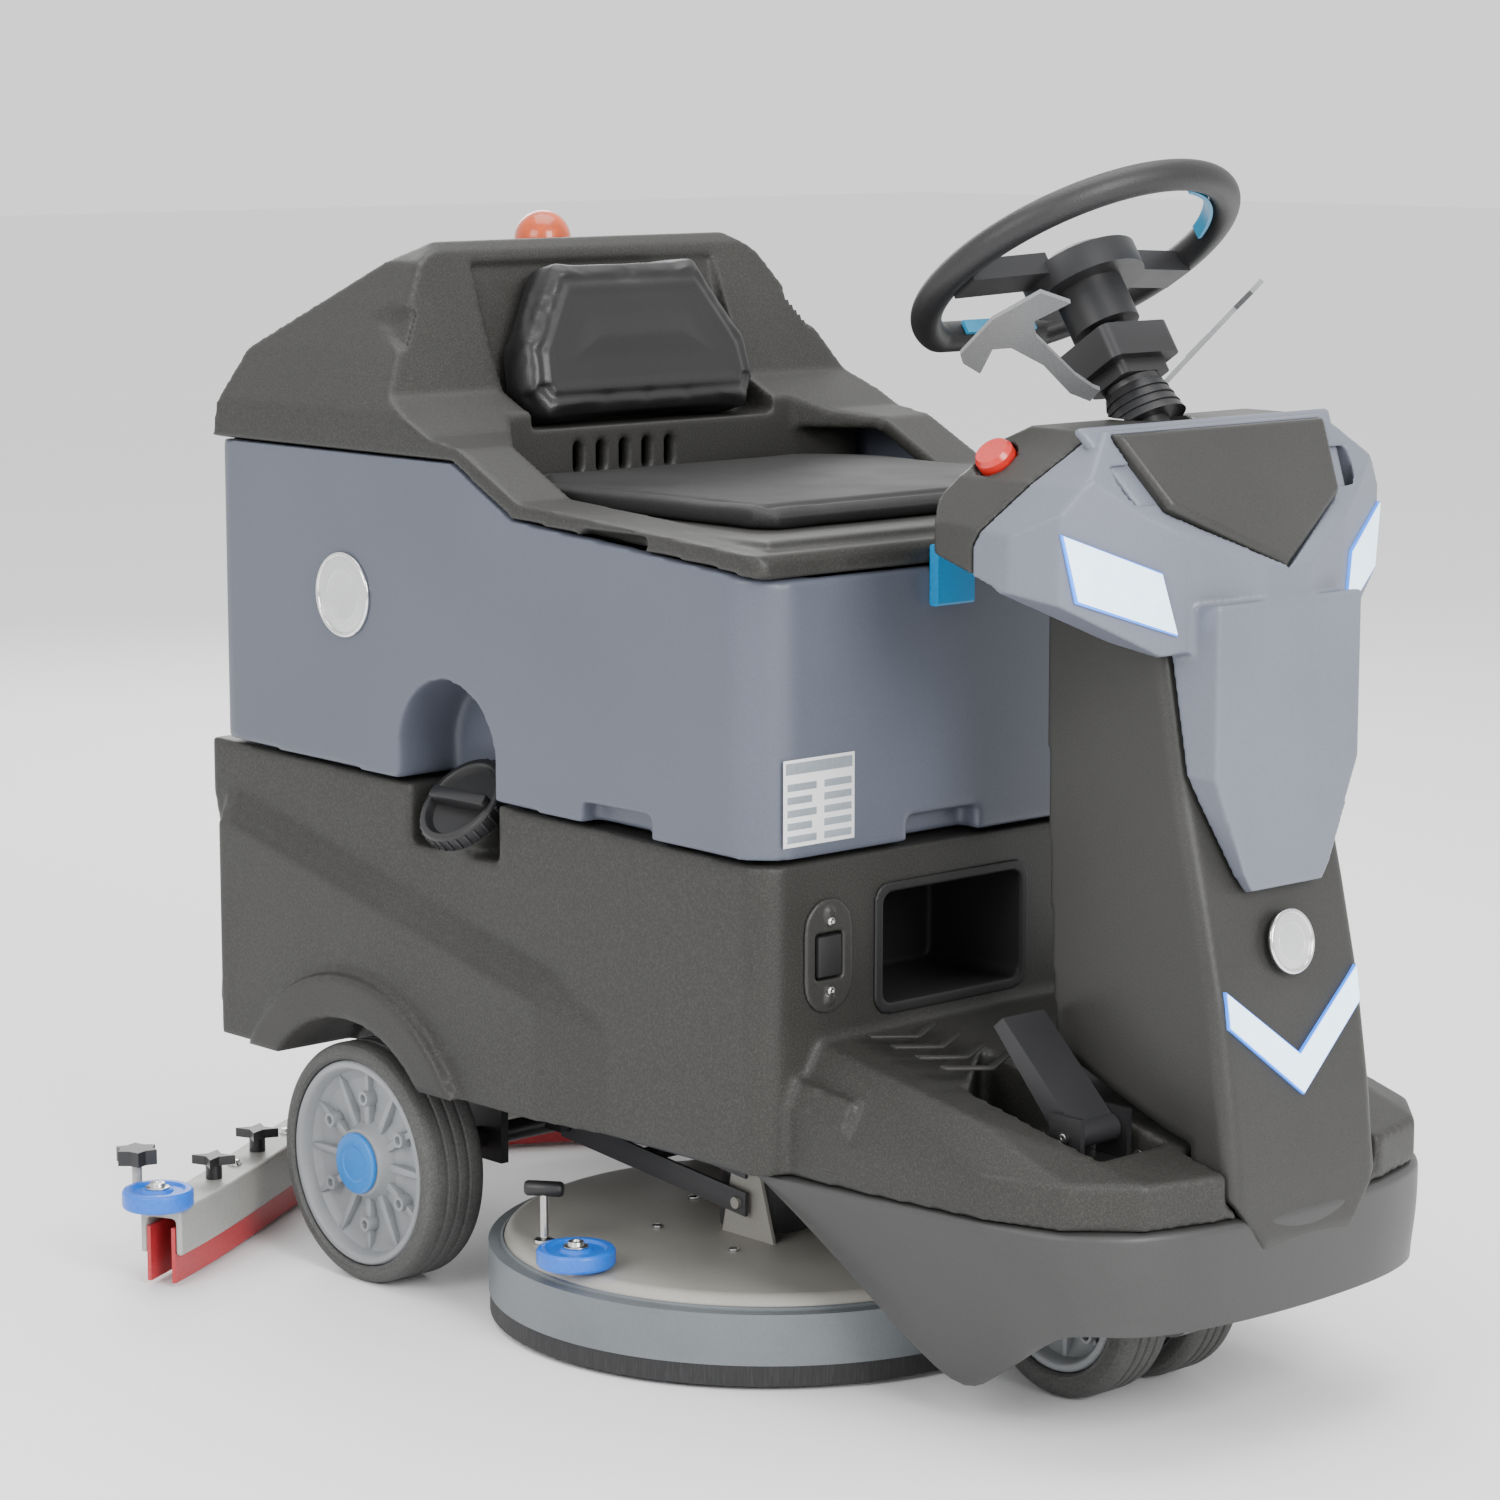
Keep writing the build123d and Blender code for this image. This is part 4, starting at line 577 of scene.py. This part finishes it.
def behind_shield(points):
    """Spreads the shield's own form outward under its edges, to close the fascia round it."""
    rise = (points - middle) @ thin
    flat_part = points - middle - rise[:, None] * thin
    return middle + flat_part * 1.2 + (rise * 0.6 - 8.5)[:, None] * thin


place(softened("shield_seat", ["console_cover"], 2.5, 2, behind_shield), "frame", FASCIA)


# ------------------------------------------------------- steering hub and clamp

HUB_AT, HUB_UP = Vector((413, 0, 1099)), Vector((-0.544639, 0, 0.838671))
HUB_FORE = (0.838671, 0, 0.544639)
hub = [turned("cowl", [(0.5, -20), (34, -20), (43, -15), (46, -7), (44, -1), (36, 4), (20, 6.5), (0.5, 7)],
              HUB_AT, HUB_UP)]
for out in around(8, HUB_FORE, ALONG_Y):
    hub.append(prism("rib", [(38, -2), (46.5, -2), (46.5, 2), (38, 2)], HUB_AT, out, HUB_UP.cross(out), -17,
                     -5, 0.8))
place(merged("hub_cowl", hub), "steering_wheel", BLACK)


# ------------------------------------------------------------------ foot tread

bars = []
for side in (-1, 1):
    for row in range(4):
        start = 26 + row * 34
        bars.append(prism("bar", [(start, -44), (start + 9, -44), (start + 31, 0), (start + 9, 44),
                                  (start, 44), (start + 22, 0)], (325, side * 172, 365), (1, 0, -0.133),
                          ALONG_Y, -1.5, 1.6, 1))
place(merged("foot_tread", bars), "frame", BODY)


# -------------------------------------------------------------------- wheels

def wheel_parts(name, centre, side, rim_radius, half, spokes, hub):
    """A dished, spoked rim whose outer side faces along side; heights count from the wheel's middle."""
    rim = turned(name, [(13, 2 - half), (hub, 2 - half), (hub + 5, 8 - half), (rim_radius - 14, 5 - half),
                        (rim_radius - 0.5, 2 - half), (rim_radius - 0.5, half - 6.5),
                        (rim_radius - 3, half - 4), (rim_radius - 8, half - 4), (rim_radius - 11, half - 8),
                        (rim_radius - 13, half - 19), (rim_radius - 22, half - 25), (hub + 20, half - 28),
                        (hub + 8, half - 24), (hub + 2, half - 14), (hub, half - 7), (13, half - 7)],
                 centre, side, ring=True, width=0.8)
    out = Vector(side)
    parts = [rim]
    for i, along in enumerate(around(spokes, ALONG_X, ALONG_Z)):
        parts.append(prism("spoke", [(hub, -4.5), (rim_radius - 12, -3), (rim_radius - 12, 3), (hub, 4.5)],
                           centre, along, out.cross(along), half - 32, half - 18, 1.5))
        if i % 2:
            boss = Vector(centre) + along * (hub + rim_radius) * 0.47
            parts.append(turned("boss", [(0.5, half - 30), (9, half - 30), (8, half - 13), (4.5, half - 13),
                                         (4.2, half - 20), (0.5, half - 20)], boss, side, count=24))
    return merged(name, parts)


def tyre(name, centre, side, radius, rim_radius, half):
    """A tyre with a bead line, round shoulders and running grooves."""
    wall = [(rim_radius + 0.3, half - 4), (rim_radius + 3, half - 0.6), (rim_radius + 6, half - 1.6),
            (rim_radius + 7.5, half - 1.2), (radius - 8, half - 1.8), (radius - 3, half - 5),
            (radius - 0.8, half - 9), (radius, half - 13)]
    grooves = []
    for middle in (half * 0.36, 0, -half * 0.36):
        grooves += [(radius, middle + 2.2), (radius - 2, middle + 1.2), (radius - 2, middle - 1.2),
                    (radius, middle - 2.2)]
    profile = wall + grooves + [(r, -h) for r, h in wall[::-1]]
    return turned(name, profile, centre, side, count=128, ring=True, width=0.5)


for end, side in (("left", 1), ("right", -1)):
    axle = (-300, side * 304, 130)
    body = "rear_wheel_" + end
    place(tyre("tyre_" + end, axle, (0, side, 0), 130, 111, 40), body, TYRE, ["rear_tyre_" + end])
    place(wheel_parts("wheel_" + end, axle, (0, side, 0), 111, 40, 12, 36), body, RIM, ["rear_rim_" + end])
    place(turned("hub_disc_" + end, [(0.5, 33), (30, 33), (33, 34), (33, 38), (31, 39.7), (20, 39.9),
                                     (18.5, 38.7), (17, 38.7), (0.5, 39)], axle, (0, side, 0)), body, BLUE,
          ["hub_cap_" + end])
    truck = (478, side * 51, 100)
    body = "drive_wheel_" + end
    place(tyre("drive_tyre_" + end, truck, (0, side, 0), 100, 74, 34), body, TYRE, ["drive_wheel_" + end])
    place(wheel_parts("drive_hub_" + end, truck, (0, side, 0), 74, 34, 8, 24), body, RIM,
          ["drive_wheel_" + end])


# ------------------------------------------------------------ seat and cushion

# The backrest's plane: its origin, the way it faces and its upward direction.
BACK_ORIGIN, BACK_FACE = (-257.5, 0, 910), Vector((170, 0, 44)).normalized()
BACK_UP = BACK_FACE.cross(Vector(ALONG_Y))
BACK_OUTLINE = [(-150, -10), (150, -10), (170, 26), (165, 76), (108, 168), (-108, 168), (-165, 76),
                (-170, 26)]
backrest = plumped("backrest_pad", [(a * 0.965, b * 0.965 + 3) for a, b in BACK_OUTLINE], BACK_ORIGIN,
                   ALONG_Y, BACK_UP, 2, 52, 5, 6)
points = points_of(backrest) / MM
offset = points - np.array(BACK_ORIGIN)
flat = np.stack([points[:, 1], offset @ np.array(BACK_UP)], axis=1)
front = step(offset @ np.array(BACK_FACE), 26, 44)
depth = inside_depth(flat, BACK_OUTLINE)
sunk = 3.6 * np.exp(-((depth - 27) / 5.5) ** 2) + 2.5 * step(depth, 27, 46) - 4.0 * step(depth, 60, 100)
set_points(backrest, (points - np.array(BACK_FACE) * (front * sunk)[:, None]) * MM)
place(backrest, "seat", SOFT_PU, ["backrest_cushion"])

SEAT_OUTLINE = [(-190, -196), (-116, -250), (226, -250), (246, -234), (246, 234), (226, 250), (-116, 250),
                (-190, 196)]
pad_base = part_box("seat_pad")[0][2] / MM
mat = plumped("seat_mat", [(28 + (a - 28) * 0.985, b * 0.985) for a, b in SEAT_OUTLINE], (0, 0, pad_base),
              ALONG_X, ALONG_Y, 0.5, 21, 5, 3)
points = points_of(mat) / MM
depth = inside_depth(points[:, :2], SEAT_OUTLINE)
top = step(points[:, 2], pad_base + 10, pad_base + 19)
sunk = 2.6 * np.exp(-((depth - 24) / 3.6) ** 2) + 5.0 * step(points[:, 0], 212, 246)
points[:, 2] = np.clip(points[:, 2] - top * sunk, pad_base + 0.3, None)
set_points(mat, points * MM)
place(mat, "seat", SEAT_PU, ["seat_pad"])


# ------------------------------------------------------------- badges and label

def badge(name, body, centre, side, radius):
    ring = turned(name + "_ring", [(radius - 5, 0), (radius, 0), (radius, 2.5), (radius - 1.5, 4),
                                   (radius - 4, 4), (radius - 5, 2.6)], centre, side, ring=True)
    place(ring, body, CHROME)
    face = turned(name + "_face", [(0.5, 0), (radius - 4.9, 0), (radius - 4.9, 2.2), (radius * 0.62, 2.4),
                                   (radius * 0.6, 2.9), (radius * 0.56, 2.9), (radius * 0.54, 2.4),
                                   (0.5, 2.6)], centre, side)
    place(face, body, BADGE)


tank_low, tank_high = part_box("recovery_tank")
badge("tank_badge_right", "tank", (-312, tank_low[1] / MM - 0.5, 739), (0, -1, 0), 45)
badge("column_badge", "frame", (698, 0, 477), (1, 0, 0.2), 31)
badge("tank_badge_left", "tank", (-312, tank_high[1] / MM + 0.5, 739), ALONG_Y, 45)
label_at = (tank_high[0] / MM, 0, 0)
place(prism("tank_label", [(-305, 552), (-212, 552), (-212, 636), (-305, 636)], label_at, ALONG_Y, ALONG_Z,
            0, 0.5, 0.2), "tank", LABEL)
bands = [prism("band", [(-302, 622), (-215, 622), (-215, 633), (-302, 633)], label_at, ALONG_Y, ALONG_Z,
               0.3, 0.8, 0.15)]
for row in range(5):
    low = 556 + row * 12.5
    bands.append(prism("band", [(-300, low), (-262 - row % 2 * 6, low), (-262 - row % 2 * 6, low + 7),
                                (-300, low + 7)], label_at, ALONG_Y, ALONG_Z, 0.3, 0.8, 0.15))
    bands.append(prism("band", [(-252, low), (-216, low), (-216, low + 7), (-252, low + 7)],
                       label_at, ALONG_Y, ALONG_Z, 0.3, 0.8, 0.15))
place(merged("tank_label_bands", bands), "tank", LABEL_BAND)


# ------------------------------------------------------------ deck and squeegee

# The middle of the deck, and where its locking pin stands.
DECK_MIDDLE = Vector((63, -78, 0))
PIN_X, PIN_Y = -29, -305


def wheel_roller(name, roller, x, y, low, radius, high):
    """A roller and its screw on an upright axis; the CAD node and its body share one name."""
    place(turned(name, [(6.4, low), (radius - 2, low), (radius, low + 3), (radius, high - 3),
                        (radius - 2, high), (radius * 0.78, high), (radius * 0.72, high - 3.5),
                        (17, high - 3.5), (15, high), (6.4, high)], (x, y, 0), ALONG_Z, ring=True), roller,
          ROLLER_BLUE, [roller])
    place(turned(name + "_screw", [(0.5, high - 8), (5.9, high - 8), (5.9, high), (13, high + 0.2),
                                   (13, high + 2), (8.5, high + 2.2), (8, high + 6.5), (4, high + 6.8),
                                   (3.6, high + 4), (0.5, high + 4)], (x, y, 0), ALONG_Z, count=36), roller,
          STEEL)


wheel_roller("deck_wheel", "deck_roller", 63, -340, 96, 40, 114)
for end, side in (("left", 1), ("right", -1)):
    wheel_roller("bumper_wheel_" + end, "end_roller_" + end, -430, side * 506, 87, 38, 107)

pin = [turned("stem", [(0.5, 90), (11, 90), (11, 97), (7.5, 98), (4.5, 99), (4.5, 146), (0.5, 146)],
              (PIN_X, PIN_Y, 0), ALONG_Z, count=32)]
for out in around(6, ALONG_X, ALONG_Y):
    pin.append(turned("bolt", [(0.5, 91), (6, 91), (6, 95), (3, 96), (0.5, 96)],
                      DECK_MIDDLE + out * 118, ALONG_Z, count=6))
place(merged("deck_hardware", pin), "deck", STEEL)
place(turned("pin_grip", [(0.5, -20), (6.5, -20), (8, -17), (8, 17), (6.5, 20), (0.5, 20)],
             (PIN_X, PIN_Y, 150), (0.8, 0.6, 0), count=32), "deck", BLACK)
place(turned("deck_seam", [(276.4, 74), (279.5, 74), (279.5, 80.5), (277.5, 82), (276.4, 82)], DECK_MIDDLE,
             ALONG_Z, count=160, ring=True), "deck", SKIRT)

bolts = []
for x, y in ((-455, 452), (-524, 340), (-600, 214), (-668, 84)):
    for side in (-1, 1):
        bolts.append(turned("bolt", [(0.5, 84), (8, 84), (8, 86.5), (6, 87), (6, 91), (0.5, 91.5)],
                            (x, side * y, 0), ALONG_Z, count=24))
place(merged("squeegee_bolts", bolts), "squeegee", STEEL)


# ------------------------------------------------------------------- fill cap

CAP_AT, CAP_UP = Vector((-145, -302, 528)), Vector((0, -0.7220, 0.6919))
CAP_SIDE = Vector(ALONG_X)
CAP_RISE = CAP_UP.cross(CAP_SIDE)
cap = [turned("cap", [(0.5, 0), (53, 0), (53, 17), (50.5, 19.8), (45, 20), (42.5, 17), (40, 12), (0.5, 12)],
              CAP_AT, CAP_UP),
       prism("grip", [(-42, -7), (42, -7), (44, 0), (42, 7), (-42, 7), (-44, 0)], CAP_AT, CAP_SIDE, CAP_RISE,
             8, 27, 2)]
for out in around(30, CAP_SIDE, CAP_RISE):
    cap.append(prism("rib", [(51, -2), (54.6, -1.4), (54.6, 1.4), (51, 2)], CAP_AT, out, CAP_UP.cross(out),
                     1.5, 16, 0.5))
place(merged("screw_cap", cap), "fill_cap", BLACK, ["fill_cap"])


# ---------------------------------------------------- socket, pedal and screws

low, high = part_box("charge_socket")
socket_x, socket_y, socket_z = high[0] / MM, (low[1] + high[1]) / 2 / MM, (low[2] + high[2]) / 2 / MM
# the inlet is a near-black block of painted shade set in the socket's opening
place(prism("socket_inlet", [(-15, -20), (15, -20), (15, 20), (-15, 20)], (socket_x, socket_y, socket_z),
            ALONG_Y, ALONG_Z, -14, -1.5, 2), "frame", INSIDE_SHADE)
place(prism("socket_collar", slot_outline(86, 46), (socket_x, socket_y, socket_z), ALONG_Y, ALONG_Z, -16,
            -12, 1), "frame", BLACK)
screws = [turned("screw", [(0.5, -6), (4.5, -6), (4.5, 0.2), (3.4, 1.4), (1.6, 1.6), (1.2, 0.4), (0.5, 0.4)],
                 (socket_x, socket_y, socket_z + lift), ALONG_X, count=24) for lift in (-34, 34)]
place(merged("socket_screws", screws), "frame", STEEL)

studs = []
for x, z in ((588, 300), (560, 276), (616, 276)):
    for side in (-1, 1):
        studs.append(turned("stud",
                            [(0.5, 0), (5.5, 0), (5.5, 1.6), (3.8, 3), (1.8, 3.2), (1.4, 1.8), (0.5, 1.8)],
                            (x, -152 + side * 35.2, z), (0, side, 0), count=24))
place(merged("pedal_screws", studs), "frame", STEEL)


# ------------------------------------------------------- floor, light, camera

def soft_light(name, place_at, aim, size, power):
    data = bpy.data.lights.new(name, "AREA")
    data.shape = "RECTANGLE"
    data.size, data.size_y = size
    data.energy = power
    lamp = bpy.data.objects.new(name, data)
    lamp.location = place_at
    lamp.rotation_euler = (Vector(aim) - Vector(place_at)).to_track_quat("-Z", "Y").to_euler()
    bpy.context.scene.collection.objects.link(lamp)


floor = made("studio_floor", [(-30, -30, 0), (30, -30, 0), (30, 30, 0), (-30, 30, 0)], [(0, 1, 2, 3)])
floor.data.materials.append(surface("studio_paper", (0.9, 0.9, 0.9), 0.8, grain=40, grain_mix=0.03,
                                    light=1.03, dark=0.97, cloud=0.6, cloud_mix=0.01, bump=0.02,
                                    rough_spread=0.02))

soft_light("key", (4.4, -0.9, 2.6), (0, 0, 0.5), (2.0, 2.4), 210)
soft_light("fill", (0.6, -4.4, 2.8), (0, 0, 0.5), (2.4, 2.0), 95)
soft_light("top", (-0.2, 0.2, 4.2), (0, 0, 0.4), (3.0, 3.0), 120)
soft_light("rear", (-4.0, 2.2, 2.6), (0, 0, 0.6), (2.2, 2.2), 80)

world = bpy.data.worlds.new("studio")
bpy.context.scene.world = world
world.use_nodes = True
world.node_tree.nodes["Background"].inputs["Color"].default_value = (1, 1, 1, 1)
world.node_tree.nodes["Background"].inputs["Strength"].default_value = 1.3

CAMERA_AT, CAMERA_TOWARD = (3.1949, -2.9643, 1.2754), Vector((-0.7290, 0.6659, -0.1587))
lens = bpy.data.cameras.new("camera")
lens.lens = 100.8
lens.sensor_width = 36
lens.clip_end = 200
camera = bpy.data.objects.new("camera", lens)
camera.location = CAMERA_AT
camera.rotation_euler = CAMERA_TOWARD.to_track_quat("-Z", "Y").to_euler()
bpy.context.scene.collection.objects.link(camera)
bpy.context.scene.camera = camera
